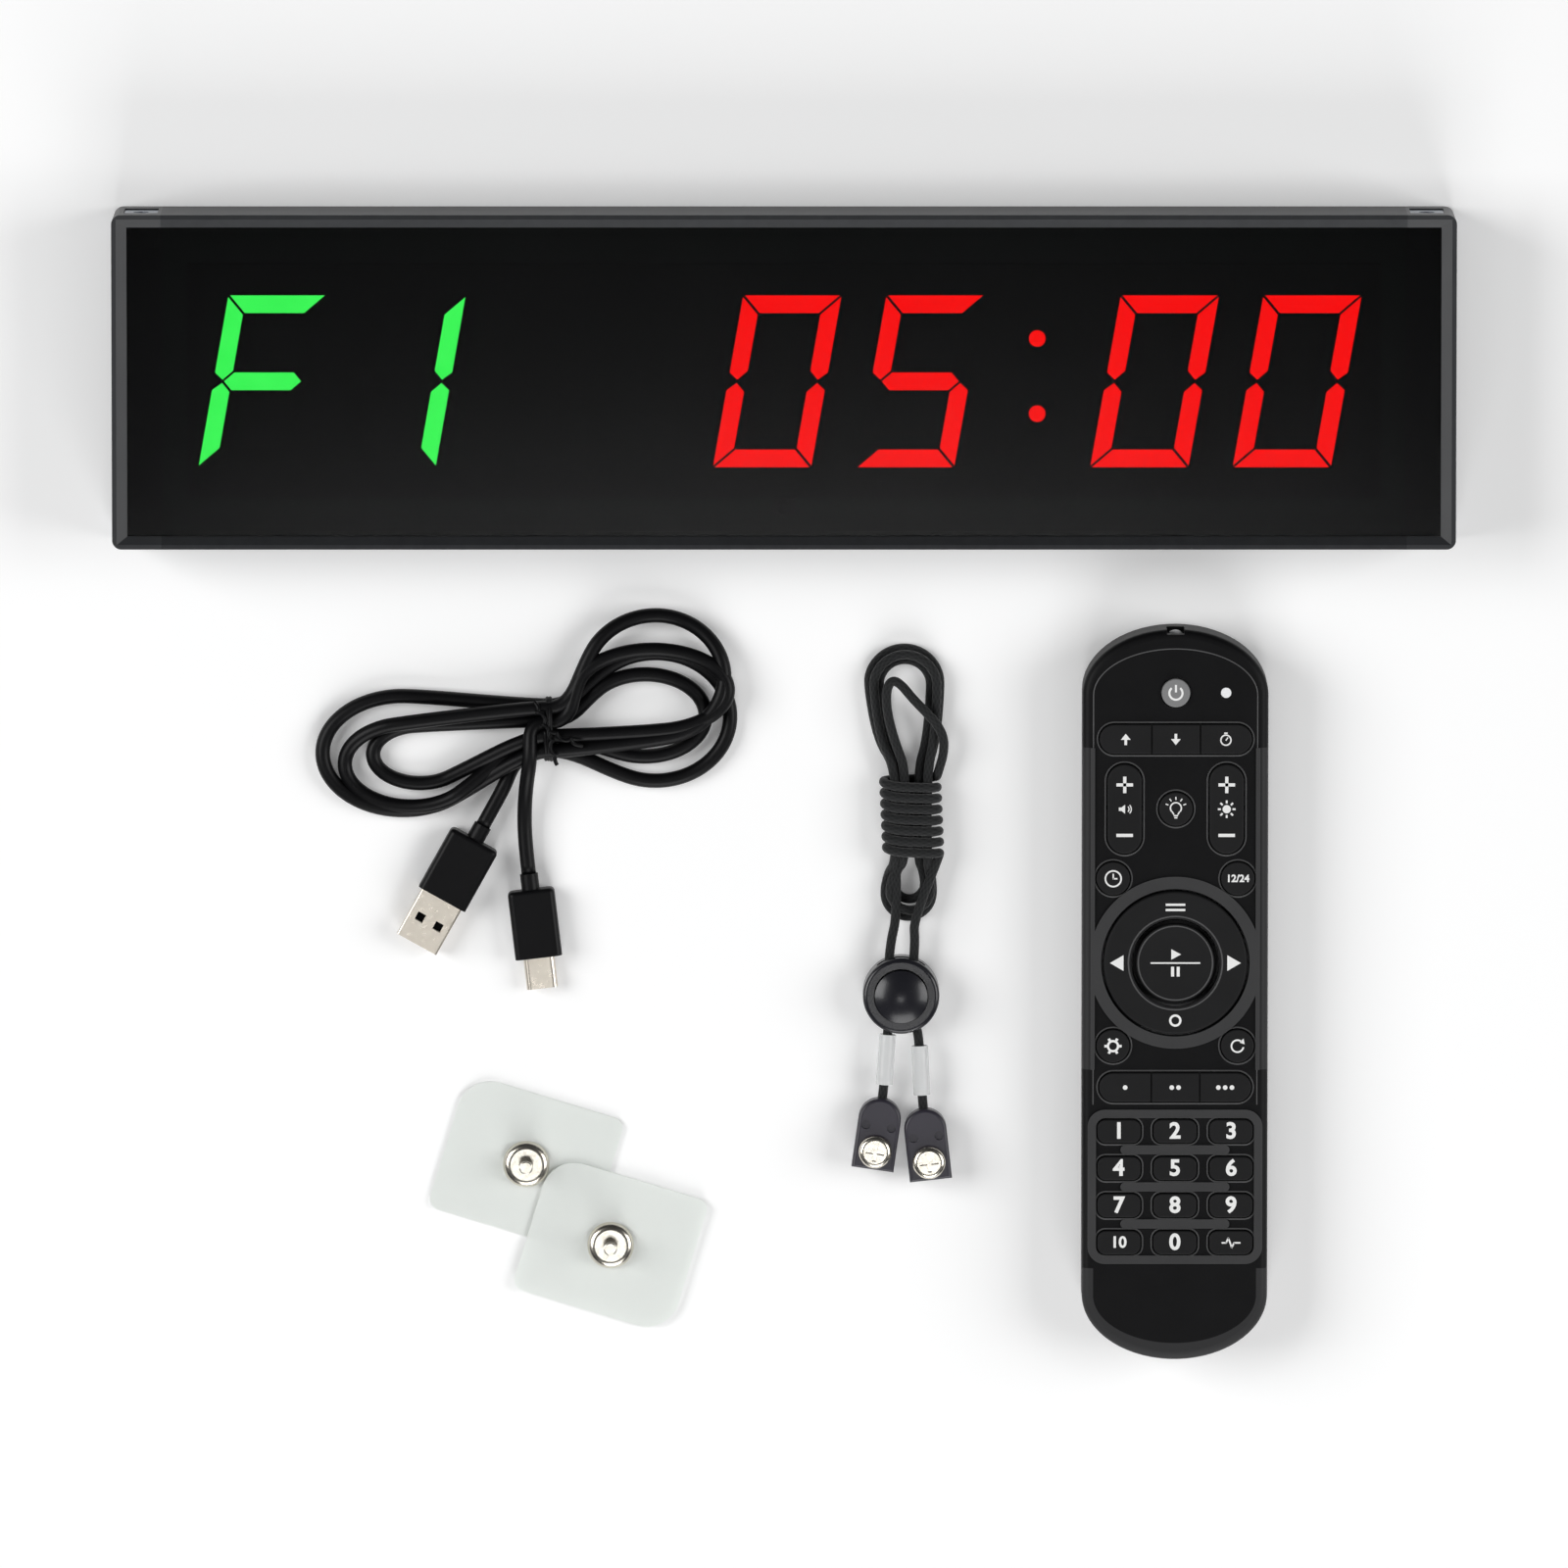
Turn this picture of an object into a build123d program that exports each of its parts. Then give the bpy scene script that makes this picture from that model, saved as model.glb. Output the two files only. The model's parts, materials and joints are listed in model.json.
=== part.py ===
from build123d import *
import math
import os

# A round timer kit for a gym, laid out flat on a table: a wide digit display on its back,
# its remote control, a USB power cable, a hanging rope with a cord lock and two adhesive hooks.
# Millimetres. +X runs along the display, +Y points to its top side, +Z is up from the table.

os.makedirs("parts", exist_ok=True)

# display case
display_length = 356.0
display_height = 88.9
display_depth = 28.0
case_wall = 1.8
cap_length = 13.0
corner_radius = 2.5
long_bezel = 3.4
end_bezel = 4.0
bezel_flat = 1.2
bevel_drop = 1.4
fit_gap = 0.1
rib_thickness = 1.0
board_rib_depth = 2.0
kit_top = 153.4

# lens, digits and display board
lens_thickness = 2.0
lens_below_bevel = 0.6
board_thickness = 1.6
board_end_gap = 0.2
segment_housing_length = 316.0
segment_housing_height = 62.0
segment_housing_depth = 6.4
digit_height = 45.7
digit_width = 26.0
stroke = 4.7
segment_gap = 0.45
slant = math.radians(10)
green_digit_places = (-138.1, -101.3)
red_digit_places = (-1.8, 36.1, 98.15, 135.9)
colon_place = 67.05
colon_rise = 10.0
colon_radius = 2.2
colon_lift = 1.4
chip_size = (3.0, 1.6, 0.8)

# display fasteners and electronics
cap_screw_radius = 1.5
cap_screw_head_radius = 2.7
cap_screw_head_height = 1.6
cap_screw_grip = 8.0
screw_port_radius = 3.4
insert_plate = (8.8, 14.0, 0.8)
insert_thread_radius = 2.05
insert_body_radius = 3.2
insert_length = 7.0
insert_boss_wall = 1.4
insert_grip = 0.02
buzzer_radius = 6.0
buzzer_height = 8.5
buzzer_place = (-120.0, 0.0)
cell_radius = 10.0
cell_height = 3.2
cell_place = (-60.0, 12.0)
usb_place = 140.0
usb_socket_size = (8.9, 7.4, 3.2)
receiver_size = (6.0, 4.4, 5.0)

# remote control body
remote_width = 49.4
remote_length = 195.6
remote_end_height = 17.5
remote_x = 104.0
remote_head = 42.2
remote_wall = 1.6
parting_height = 9.4
remote_edge_radius = 2.2
remote_base_radius = 3.0
floor_gap = 0.3

# keys
run_gap = 0.3
key_rise = 1.0
key_travel = 0.8
flange_width = 0.8
flange_thickness = 0.7
mat_thickness = 0.8
remote_board_thickness = 1.0
ring_radius = 19.1
ring_hole_radius = 11.8
ring_gap = 0.5
start_key_radius = 10.4
carrier_inner_radius = 12.2
carrier_outer_radius = 14.3
carrier_thickness = 0.9
ring_place = (104.05, -46.75)
pad_row_pitch = 9.95
pad_key_width = 11.5
pad_key_height = 6.3
pad_column_pitch = 14.9
pad_first_row = -91.9
pad_bridge_width = 2.4
rows_of_numbers = 4

# batteries and their door
cell_aaa_radius = 5.25
cell_aaa_length = 43.3
cell_nub_radius = 1.9
cell_nub_height = 1.2
cell_pitch = 11.2
bay_top = -84.5
bay_length = 49.5
bay_half_width = 12.5
door_front = -81.7
door_thickness = 1.6
bay_floor = 1.2
bay_end_wall = 1.2
rail_length = 10.0
rail_start = -100.0
door_slide = 8.0

# cables, rope and their fittings
cable_diameter = 3.9
rope_diameter = 2.5
rope_height = 6.2
lock_place = (31.2, -56.9)
lock_radius = 10.2
lock_floor = 0.8
button_radius = 7.0
button_travel = 2.5
button_floor = 1.0
button_rise = 1.2
sleeve_radius = 2.25
sleeve_bore_radius = 1.7
tab_width = 11.3
tab_length = 19.2
tab_thickness = 5.0
tab_screw_radius = 2.0
tab_screw_head_radius = 4.4
tab_screw_head_height = 2.4
tab_screw_from_end = 5.0

# adhesive hooks
pad_length = 44.0
pad_width = 37.5
pad_thickness = 0.8
small_pad_corner = 3.0
large_pad_corner = 9.0
pad_turn = -17.0
stud_base_radius = 6.2
stud_base_height = 2.6
stud_pin_radius = 1.85
stud_pin_length = 6.5
first_pad_place = (-68.8, -103.0)
second_pad_place = (-46.3, -124.7)

# worked out from the above
display_y = kit_top - display_height / 2
half_length = display_length / 2
half_height = display_height / 2
cap_start = half_length - cap_length
lens_top = display_depth - bevel_drop - lens_below_bevel
lens_bottom = lens_top - lens_thickness
housing_top = lens_bottom - 0.2
board_top = housing_top - segment_housing_depth - fit_gap
board_bottom = board_top - board_thickness
remote_y = remote_head - remote_length / 2
remote_tail = remote_head - remote_length
remote_span = (remote_x - remote_width, remote_x + remote_width)
door_top = floor_gap + door_thickness
shell_floor = door_top + run_gap
cell_axis_height = shell_floor + 0.2 + cell_aaa_radius
remote_board_bottom = cell_axis_height + cell_aaa_radius + run_gap
mat_bottom = remote_board_bottom + remote_board_thickness + fit_gap
mat_top = mat_bottom + mat_thickness
flange_bottom = mat_top + run_gap + key_travel
flange_top = flange_bottom + flange_thickness
face_underside = flange_top + run_gap
remote_thickness = face_underside + remote_wall
key_top = remote_thickness + key_rise


def block(x_span, y_span, z_span):
    """A box between two X, two Y and two Z values."""
    size = [span[1] - span[0] for span in (x_span, y_span, z_span)]
    middle = [(span[1] + span[0]) / 2 for span in (x_span, y_span, z_span)]
    return Pos(*middle) * Box(*size)


def raised(face, low, high):
    """A flat outline made solid between two heights."""
    return extrude(Pos(0, 0, low) * face, amount=high - low, dir=(0, 0, 1))


def rod_x(radius, x_span, y, z):
    place = Pos((x_span[0] + x_span[1]) / 2, y, z) * Rot(0, 90, 0)
    return place * Cylinder(radius, x_span[1] - x_span[0])


def rod_y(radius, y_span, x, z):
    place = Pos(x, (y_span[0] + y_span[1]) / 2, z) * Rot(90, 0, 0)
    return place * Cylinder(radius, y_span[1] - y_span[0])


def rod_z(radius, x, y, z_span):
    return Pos(x, y, (z_span[0] + z_span[1]) / 2) * Cylinder(radius, z_span[1] - z_span[0])


def both_ends(solid):
    """The right-hand solid with its mirror image at the left end."""
    return [solid, mirror(solid, about=Plane.YZ)]


def save(name, *solids):
    """Write one named sub-part, as one solid or as a group of separate ones."""
    flat = []
    for item in solids:
        flat.extend(item.solids())
    whole = flat[0] if len(flat) == 1 else Compound(children=flat)
    export_step(whole, f"parts/{name}.step")
    return whole


def case_extrusion():
    """C-section of the case with its lens grooves, board grooves and screw ports."""
    inner = half_height - case_wall
    lip = half_height - long_bezel
    lip_low = lens_top + fit_gap
    rib_top = lens_bottom - fit_gap
    # from the rear centre out to the side, over the lip and back down inside the side wall
    side = [
        (0, 0),
        (half_height, 0),
        (half_height, display_depth),
        (half_height - bezel_flat, display_depth),
        (lip, display_depth - bevel_drop),
        (lip, lip_low),
        (inner, lip_low),
        (inner, rib_top),
        (lip, rib_top),
        (lip, rib_top - rib_thickness),
        (inner, rib_top - rib_thickness),
        (inner, board_top + fit_gap + rib_thickness),
        (inner - board_rib_depth, board_top + fit_gap + rib_thickness),
        (inner - board_rib_depth, board_top + fit_gap),
        (inner, board_top + fit_gap),
        (inner, board_bottom - fit_gap),
        (inner - board_rib_depth, board_bottom - fit_gap),
        (inner - board_rib_depth, board_bottom - fit_gap - rib_thickness),
        (inner, board_bottom - fit_gap - rib_thickness),
        (inner, case_wall),
        (0, case_wall),
    ]
    section = Plane.YZ * make_face(Polyline(*side, close=True))
    upper = Pos(-cap_start, 0, 0) * extrude(section, amount=2 * cap_start, dir=(1, 0, 0))
    case = upper + mirror(upper, about=Plane.XZ)
    for y in port_rows():
        port = rod_x(screw_port_radius, (-cap_start, cap_start), y, port_height())
        case += port & block((-cap_start, cap_start), (-half_height, half_height), (0, display_depth))
    for y in port_rows():
        case -= rod_x(cap_screw_radius + 0.05, (-cap_start, cap_start), y, port_height())
    case -= usb_opening()
    case -= sound_holes()
    return Pos(0, display_y, 0) * case


def port_rows():
    row = half_height - case_wall - screw_port_radius + 0.6
    return (-row, row)


def port_height():
    return case_wall + screw_port_radius - 0.6


def usb_opening():
    """The slot for the power plug in the lower side, with room behind it for the socket."""
    width, depth, height = usb_socket_size
    middle = board_bottom - fit_gap - height / 2
    slot = Plane.XZ * SlotOverall(width + 2 * 0.3, height + 2 * 0.3)
    hole = extrude(slot, amount=depth, both=True)
    slot_y = -half_height
    room = block(
        (usb_place - width / 2 - 0.3, usb_place + width / 2 + 0.3),
        (-half_height + case_wall, -half_height + depth),
        (middle - height / 2 - 0.3, board_bottom - 0.01),
    )
    return Pos(usb_place, slot_y, middle) * hole + room


def sound_holes():
    """A ring of small holes in the rear wall behind the buzzer."""
    x, y = buzzer_place
    holes = [rod_z(0.9, x, y, (-1, case_wall + 1))]
    for turn in range(6):
        angle = math.radians(60 * turn)
        hole_x = x + 3.6 * math.cos(angle)
        hole_y = y + 3.6 * math.sin(angle)
        holes.append(rod_z(0.9, hole_x, hole_y, (-1, case_wall + 1)))
    return holes


def right_end_cap():
    """Box-shaped cap that closes the extrusion and carries on the bezel round the end."""
    inner = half_height - case_wall
    inner_end = half_length - case_wall
    lip = half_height - long_bezel
    cap = block((cap_start, half_length), (-half_height, half_height), (0, display_depth))
    cap = fillet(cap.edges().filter_by(Axis.Z).group_by(Axis.X)[-1], corner_radius)
    cap -= block((cap_start, inner_end), (-inner, inner), (case_wall, lens_bottom - fit_gap - rib_thickness))
    cap -= block((cap_start, inner_end), (-inner, inner), (lens_bottom - fit_gap, lens_top + fit_gap))
    cap -= block(
        (cap_start, half_length - end_bezel),
        (-lip, lip),
        (lens_bottom - fit_gap - rib_thickness - 1, display_depth),
    )
    cap -= bevel_cut()
    for y in port_rows():
        boss = rod_x(screw_port_radius + 0.4, (cap_start, inner_end + 0.5), y, port_height())
        cap += boss & block((cap_start, half_length), (-half_height, half_height), (0, display_depth))
        cap -= rod_x(cap_screw_radius + 0.1, (cap_start, half_length), y, port_height())
        head_room = (half_length - cap_screw_head_height - 0.2, half_length)
        cap -= rod_x(cap_screw_head_radius + 0.2, head_room, y, port_height())
    boss_span = (half_height - case_wall - insert_length - insert_boss_wall, half_height - 1)
    insert_x, insert_z = insert_place()
    boss = rod_y(insert_body_radius + insert_boss_wall, boss_span, insert_x, insert_z)
    cap += boss & block((cap_start, half_length), (-half_height, half_height), (0, display_depth))
    bore_span = (boss_span[0] + insert_boss_wall, half_height)
    cap -= rod_y(insert_body_radius + insert_grip, bore_span, insert_x, insert_z)
    width, tall, thick = insert_plate
    cap -= block(
        (insert_x - width / 2 - fit_gap, insert_x + width / 2 + fit_gap),
        (half_height - thick - 0.4, half_height),
        (insert_z - tall / 2 - fit_gap, insert_z + tall / 2 + fit_gap),
    )
    return Pos(0, display_y, 0) * cap


def bevel_cut():
    """The sloping inner edge of the bezel at an end, and along the cap's two sides."""
    low = display_depth - bevel_drop
    high = display_depth
    spread_x = (end_bezel - bezel_flat) / bevel_drop
    spread_y = (long_bezel - bezel_flat) / bevel_drop
    over = 1.0
    half_low = half_height - long_bezel
    half_high = half_height - bezel_flat + spread_y * over
    end_low = half_length - end_bezel
    end_high = half_length - bezel_flat + spread_x * over
    start = cap_start - 5
    lower = make_face(
        Polyline(
            (start, -half_low, low), (end_low, -half_low, low), (end_low, half_low, low),
            (start, half_low, low), close=True,
        )
    )
    upper = make_face(
        Polyline(
            (start, -half_high, high + over), (end_high, -half_high, high + over),
            (end_high, half_high, high + over), (start, half_high, high + over), close=True,
        )
    )
    return loft([lower, upper])


def insert_place():
    return (half_length - case_wall - insert_plate[0] / 2 - 1.4, display_depth / 2)


def right_hanging_insert():
    """Threaded insert with a plate that lies in the top side, for a rope end's screw."""
    x, z = insert_place()
    width, tall, thick = insert_plate
    plate_top = half_height - 0.4
    plate = block(
        (x - width / 2, x + width / 2), (plate_top - thick, plate_top), (z - tall / 2, z + tall / 2)
    )
    insert = plate + rod_y(insert_body_radius, (plate_top - thick - insert_length + 1, plate_top - 0.1), x, z)
    insert -= rod_y(insert_thread_radius, (plate_top - 20, plate_top + 1), x, z)
    return Pos(0, display_y, 0) * insert


def right_cap_screws():
    screws = []
    for y in port_rows():
        head_end = half_length - 0.1
        head_start = head_end - cap_screw_head_height
        shank_start = cap_start - cap_screw_grip
        screw = rod_x(cap_screw_radius, (shank_start, head_start), y, port_height())
        screw += rod_x(cap_screw_head_radius, (head_start - 0.01, head_end), y, port_height())
        for wide, tall in ((3.2, 0.7), (0.7, 3.2)):
            screw -= block(
                (head_end - 0.9, head_end + 1),
                (y - wide / 2, y + wide / 2),
                (port_height() - tall / 2, port_height() + tall / 2),
            )
        screws.append(Pos(0, display_y, 0) * screw)
    return screws


def front_lens():
    across = half_height - case_wall - 0.2
    along = half_length - case_wall - 0.2
    return block((-along, along), (display_y - across, display_y + across), (lens_bottom, lens_top))


def slanted(points, x_middle):
    """Lean an upright outline over and place it on the display."""
    return [(x_middle + x + y * math.tan(slant), display_y + y) for x, y in points]


def segment_outlines(x_middle):
    """The strokes of one digit: top, upper right, lower right, bottom, lower left, upper left, middle."""
    w = digit_width / 2
    h = digit_height / 2
    s = stroke
    g = segment_gap
    top = [(-w + g, h), (w - g, h), (w - s - g, h - s), (-w + s + g, h - s)]
    upper_right = [(w, h - g), (w, s / 2), (w - s / 2, g), (w - s, s / 2 + g), (w - s, h - s - g)]
    middle = [
        (-w + s / 2 + g, 0), (-w + s + g, s / 2), (w - s - g, s / 2),
        (w - s / 2 - g, 0), (w - s - g, -s / 2), (-w + s + g, -s / 2),
    ]
    flip_y = [(x, -y) for x, y in upper_right]
    flip_x = [(-x, y) for x, y in upper_right]
    flip_both = [(-x, -y) for x, y in upper_right]
    bottom = [(x, -y) for x, y in top]
    strokes = (top, upper_right, flip_y, bottom, flip_both, flip_x, middle)
    return [slanted(points, x_middle) for points in strokes]


def segment_prisms(places, low, high, margin=0.0):
    prisms = []
    for x_middle in places:
        for points in segment_outlines(x_middle):
            face = make_face(Polyline(*points, close=True))
            if margin:
                face = offset(face, margin, kind=Kind.INTERSECTION)
            prisms.append(raised(face, low, high))
    return prisms


def colon_dots(low, high, margin=0.0):
    dots = []
    for rise in (-colon_rise, colon_rise):
        dots.append(rod_z(colon_radius + margin, colon_place, display_y + rise + colon_lift, (low, high)))
    return dots


def segment_housing():
    """White moulded plate with one window for each segment and colon dot."""
    low = board_top + fit_gap
    half = segment_housing_length / 2
    tall = segment_housing_height / 2
    plate = block((-half, half), (display_y - tall, display_y + tall), (low, housing_top))
    windows = segment_prisms(green_digit_places + red_digit_places, low - 1, housing_top + 1, 0.05)
    windows += colon_dots(low - 1, housing_top + 1, 0.05)
    return plate - windows


def led_chips():
    """One light-emitting chip on the board under each segment and dot."""
    length, width, height = chip_size
    low = board_top + 0.01
    chips = []
    for x_middle in green_digit_places + red_digit_places:
        for points in segment_outlines(x_middle):
            x = sum(point[0] for point in points) / len(points)
            y = sum(point[1] for point in points) / len(points)
            x_ends = [point[0] for point in points]
            flat = max(x_ends) - min(x_ends) > digit_width / 2
            turn = 0 if flat else 90 - math.degrees(slant)
            chips.append(Pos(x, y, low + height / 2) * Rot(0, 0, turn) * Box(length, width, height))
    for dot in colon_dots(0, 1):
        x, y = dot.center().X, dot.center().Y
        chips.append(Pos(x, y, low + height / 2) * Box(width, width, height))
    return chips


def display_board():
    across = half_height - case_wall - 0.15
    along = cap_start - board_end_gap
    return block((-along, along), (display_y - across, display_y + across), (board_bottom, board_top))


def control_chips():
    """Controller, clock chip and the segment drivers on the rear of the board."""
    chips = []
    top = board_bottom - 0.05
    for x, y, long, wide, tall in (
        (0, 8, 13, 10, 2.0), (30, -10, 5, 4, 1.5), (-30, -14, 10, 7.5, 2.0), (60, 10, 10, 7.5, 2.0),
        (100, 10, 10, 7.5, 2.0), (118, -24, 8, 8, 6.0),
    ):
        along = (x - long / 2, x + long / 2)
        across = (display_y + y - wide / 2, display_y + y + wide / 2)
        chips.append(block(along, across, (top - tall, top)))
    return chips


def buzzer():
    x, y = buzzer_place
    top = board_bottom - 0.05
    body = rod_z(buzzer_radius, x, display_y + y, (top - buzzer_height, top))
    return body - rod_z(1.0, x, display_y + y, (top - buzzer_height - 1, top - buzzer_height + 1.5))


def coin_cell():
    x, y = cell_place
    top = board_bottom - 0.3
    cell = rod_z(cell_radius, x, display_y + y, (top - cell_height, top))
    return fillet(cell.edges().group_by(Axis.Z)[0], 0.5)


def infrared_receiver():
    width, depth, height = receiver_size
    low = board_top + 0.01
    y = display_y - segment_housing_height / 2 - depth / 2 - 0.5
    body = block((-width / 2, width / 2), (y - depth / 2, y + depth / 2), (low, low + height))
    dome = Pos(0, y, low + height) * Sphere(1.7)
    return body + (dome & block((-3, 3), (y - 3, y + 3), (low + height - 0.5, low + height + 3)))


def usb_socket():
    """Open metal shell with its contact tongue, mouth in the display's lower side."""
    width, depth, height = usb_socket_size
    middle = board_bottom - fit_gap - height / 2
    start = display_y - half_height + 0.2
    shell = extrude(Plane.XZ * SlotOverall(width, height), amount=-depth)
    hollow = extrude(Plane.XZ * SlotOverall(width - 0.6, height - 0.6), amount=-(depth - 1))
    tongue = block((-3.35, 3.35), (1.5, depth - 0.5), (-0.35, 0.35))
    return Pos(usb_place, start, middle) * (shell - hollow + tongue)


# the display
case = case_extrusion()
save("case_extrusion", case)
cap_right = right_end_cap()
save("end_cap_right", cap_right)
save("end_cap_left", mirror(cap_right, about=Plane.YZ))
cap_screws = []
for screw in right_cap_screws():
    cap_screws.extend(both_ends(screw))
save("end_cap_screws", *cap_screws)
save("hanging_inserts", *both_ends(right_hanging_insert()))
save("front_lens", front_lens())
save("segment_housing", segment_housing())
segment_low = board_top + fit_gap + 1.2
save("green_segments", *segment_prisms(green_digit_places, segment_low, housing_top))
save(
    "red_segments",
    *segment_prisms(red_digit_places, segment_low, housing_top),
    *colon_dots(segment_low, housing_top),
)
save("led_chips", *led_chips())
save("display_board", display_board())
save("control_chips", *control_chips())
save("buzzer", buzzer())
save("coin_cell", coin_cell())
save("infrared_receiver", infrared_receiver())
save("usb_socket", usb_socket())


def remote_outline(inset=0.0):
    """Long outline with half-ellipse ends."""
    straight = remote_length - 2 * remote_end_height
    width = remote_width - 2 * inset
    end = Ellipse(width / 2, remote_end_height - inset)
    shape = Rectangle(width, straight)
    shape += Pos(0, straight / 2, 0) * end
    shape += Pos(0, -straight / 2, 0) * end
    return Pos(remote_x, remote_y, 0) * shape


def round_face(x, y, radius):
    return Pos(x, y, 0) * Circle(radius)


def pill_face(x, y, length, width, turn=0):
    return Pos(x, y, 0) * Rot(0, 0, turn) * SlotOverall(length, width)


def number_row_face(y):
    """Three number keys side by side."""
    row = Sketch()
    for column in (-1, 0, 1):
        key = RectangleRounded(pad_key_width, pad_key_height, 2.2)
        row += Pos(ring_place[0] + column * pad_column_pitch, y, 0) * key
    return row


def pad_row_height(row):
    return pad_first_row - row * pad_row_pitch


# keys that press straight down, each with its outline
pressed_keys = {
    "power_key": round_face(104.05, 25.4, 3.8),
    "count_keys": pill_face(104.05, 13.05, 40.5, 7.9),
    "lamp_key": round_face(104.1, -5.6, 4.5),
    "clock_key": round_face(87.5, -24.2, 4.45),
    "hour_format_key": round_face(120.6, -24.2, 4.45),
    "start_key": round_face(*ring_place, start_key_radius),
    "set_key": round_face(87.5, -69.0, 4.4),
    "reset_key": round_face(120.6, -69.0, 4.4),
    "mode_keys": pill_face(104.05, -80.1, 40.5, 7.8),
}
for row in range(rows_of_numbers):
    pressed_keys[f"number_row_{row + 1}"] = number_row_face(pad_row_height(row))

# keys that rock about a cross pin, with the pin's place
rocker_length = 24.0
rocker_width = 9.2
rocker_pin_radius = 0.6
rocker_pin_reach = 1.1
rocker_pin_height = face_underside - run_gap - rocker_pin_radius
rockers = {
    "volume_rocker": (90.5, -5.6),
    "brightness_rocker": (117.6, -5.6),
}

# the grooves that part a strip of keys into three
strip_grooves = (97.7, 110.6)
groove_width = 0.5
groove_depth = 0.6

# lights and trim of the remote control
indicator_place = (117.4, 25.4)
indicator_radius = 1.35
sender_radius = 2.5
sender_height = 13.2
sender_notch_width = 4.6
sender_notch_depth = 1.3
trim_thickness = 0.5
side_band_width = 1.1
pad_frame_gap = 0.4
pad_frame_width = 2.2
pad_frame_inner = (
    2 * pad_column_pitch + pad_key_width + 2 * pad_frame_gap,
    (rows_of_numbers - 1) * pad_row_pitch + pad_key_height + 2 * pad_frame_gap,
)
pad_frame_y = pad_first_row - (rows_of_numbers - 1) * pad_row_pitch / 2
trim_bar = (29.0, 2.4)
ring_band_radius = 23.0
post_places = ((-17.5, 18.0), (17.5, 18.0), (-20.5, -60.0), (20.5, -60.0))


def key_with_flange(outline):
    body = raised(outline, flange_bottom, key_top)
    body = fillet(body.faces().group_by(Axis.Z)[-1].edges(), 0.35)
    flange = raised(offset(outline, flange_width), flange_bottom, flange_top)
    return body + flange


def number_row_key(outline):
    """Three keys whose flanges are joined by bridges under the case's face."""
    bridge = Rectangle(2 * pad_column_pitch, pad_bridge_width)
    bridge = Pos(ring_place[0], outline.center().Y, 0) * bridge
    return key_with_flange(outline) + raised(bridge, flange_bottom, flange_top)


def strip_key(outline):
    """Pill-shaped key bar, parted into three by shallow grooves."""
    key = key_with_flange(outline)
    y = outline.center().Y
    for x in strip_grooves:
        key -= block(
            (x - groove_width / 2, x + groove_width / 2),
            (y - 10, y + 10),
            (key_top - groove_depth, key_top + 1),
        )
    return key


def rocker_key(place):
    x, y = place
    body = raised(pill_face(x, y, rocker_length, rocker_width, 90), flange_bottom + 0.1, key_top)
    body = fillet(body.faces().sort_by(Axis.Z)[-1].edges(), 0.5)
    reach = rocker_width / 2 + rocker_pin_reach
    return body + rod_x(rocker_pin_radius, (x - reach, x + reach), y, rocker_pin_height)


def direction_ring():
    """Ring that rocks four ways, hollowed underneath for the gimbal ring."""
    low = flange_bottom
    ring = raised(round_face(*ring_place, ring_radius), low, key_top)
    ring = fillet(ring.faces().sort_by(Axis.Z)[-1].edges(), 0.6)
    ring -= raised(round_face(*ring_place, ring_hole_radius), low - 1, key_top + 1)
    room = carrier_outer_radius + 0.5
    ring -= raised(round_face(*ring_place, room), low - 1, low + 1.7)
    # two stub pins along Y sit in the gimbal ring's notches
    for side in (-1, 1):
        pin_y = ring_place[1] + side * (carrier_outer_radius + 0.75)
        pin = rod_y(0.45, (pin_y - 0.8, pin_y + 0.8), ring_place[0], low + 0.45)
        ring += pin
    return ring


def ring_carrier():
    """Gimbal ring under the direction ring."""
    low = flange_bottom - 0.2
    ring = raised(round_face(*ring_place, carrier_outer_radius), low, low + carrier_thickness)
    ring -= raised(round_face(*ring_place, carrier_inner_radius), low - 1, low + 3)
    for side in (-1, 1):
        y = ring_place[1] + side * carrier_outer_radius
        ring -= block((ring_place[0] - 0.9, ring_place[0] + 0.9), (y - 1.2, y + 1.2), (low - 1, low + 3))
    return ring


def key_openings():
    """Every hole in the face that a key comes through."""
    low = face_underside - 1
    high = remote_thickness + 1
    holes = []
    for name, outline in pressed_keys.items():
        if name != "start_key":
            holes.append(raised(offset(outline, run_gap), low, high))
    for x, y in rockers.values():
        hole = pill_face(x, y, rocker_length + 2 * run_gap, rocker_width + 2 * run_gap, 90)
        holes.append(raised(hole, low, high))
    holes.append(raised(round_face(*ring_place, ring_radius + ring_gap), low, high))
    holes.append(raised(round_face(*indicator_place, indicator_radius + 0.1), low, high))
    return holes


def remote_top_shell():
    shell = raised(remote_outline(), parting_height, remote_thickness)
    shell = fillet(shell.faces().sort_by(Axis.Z)[-1].edges(), remote_edge_radius)
    shell -= raised(remote_outline(remote_wall), parting_height - 1, face_underside)
    shell -= key_openings()
    head = remote_y + remote_length / 2
    notch_x = (remote_x - sender_notch_width / 2, remote_x + sender_notch_width / 2)
    notch_y = (head - sender_notch_depth, head + 1)
    shell -= block(notch_x, notch_y, (parting_height - 1, remote_thickness + 1))
    shell -= rod_y(sender_radius + 0.1, (head - 12, head + 1), remote_x, sender_height)
    return shell


def battery_opening():
    x_span = (remote_x - bay_half_width, remote_x + bay_half_width)
    return (x_span, (bay_top - bay_length - 0.2, bay_top + 0.2))


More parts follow.
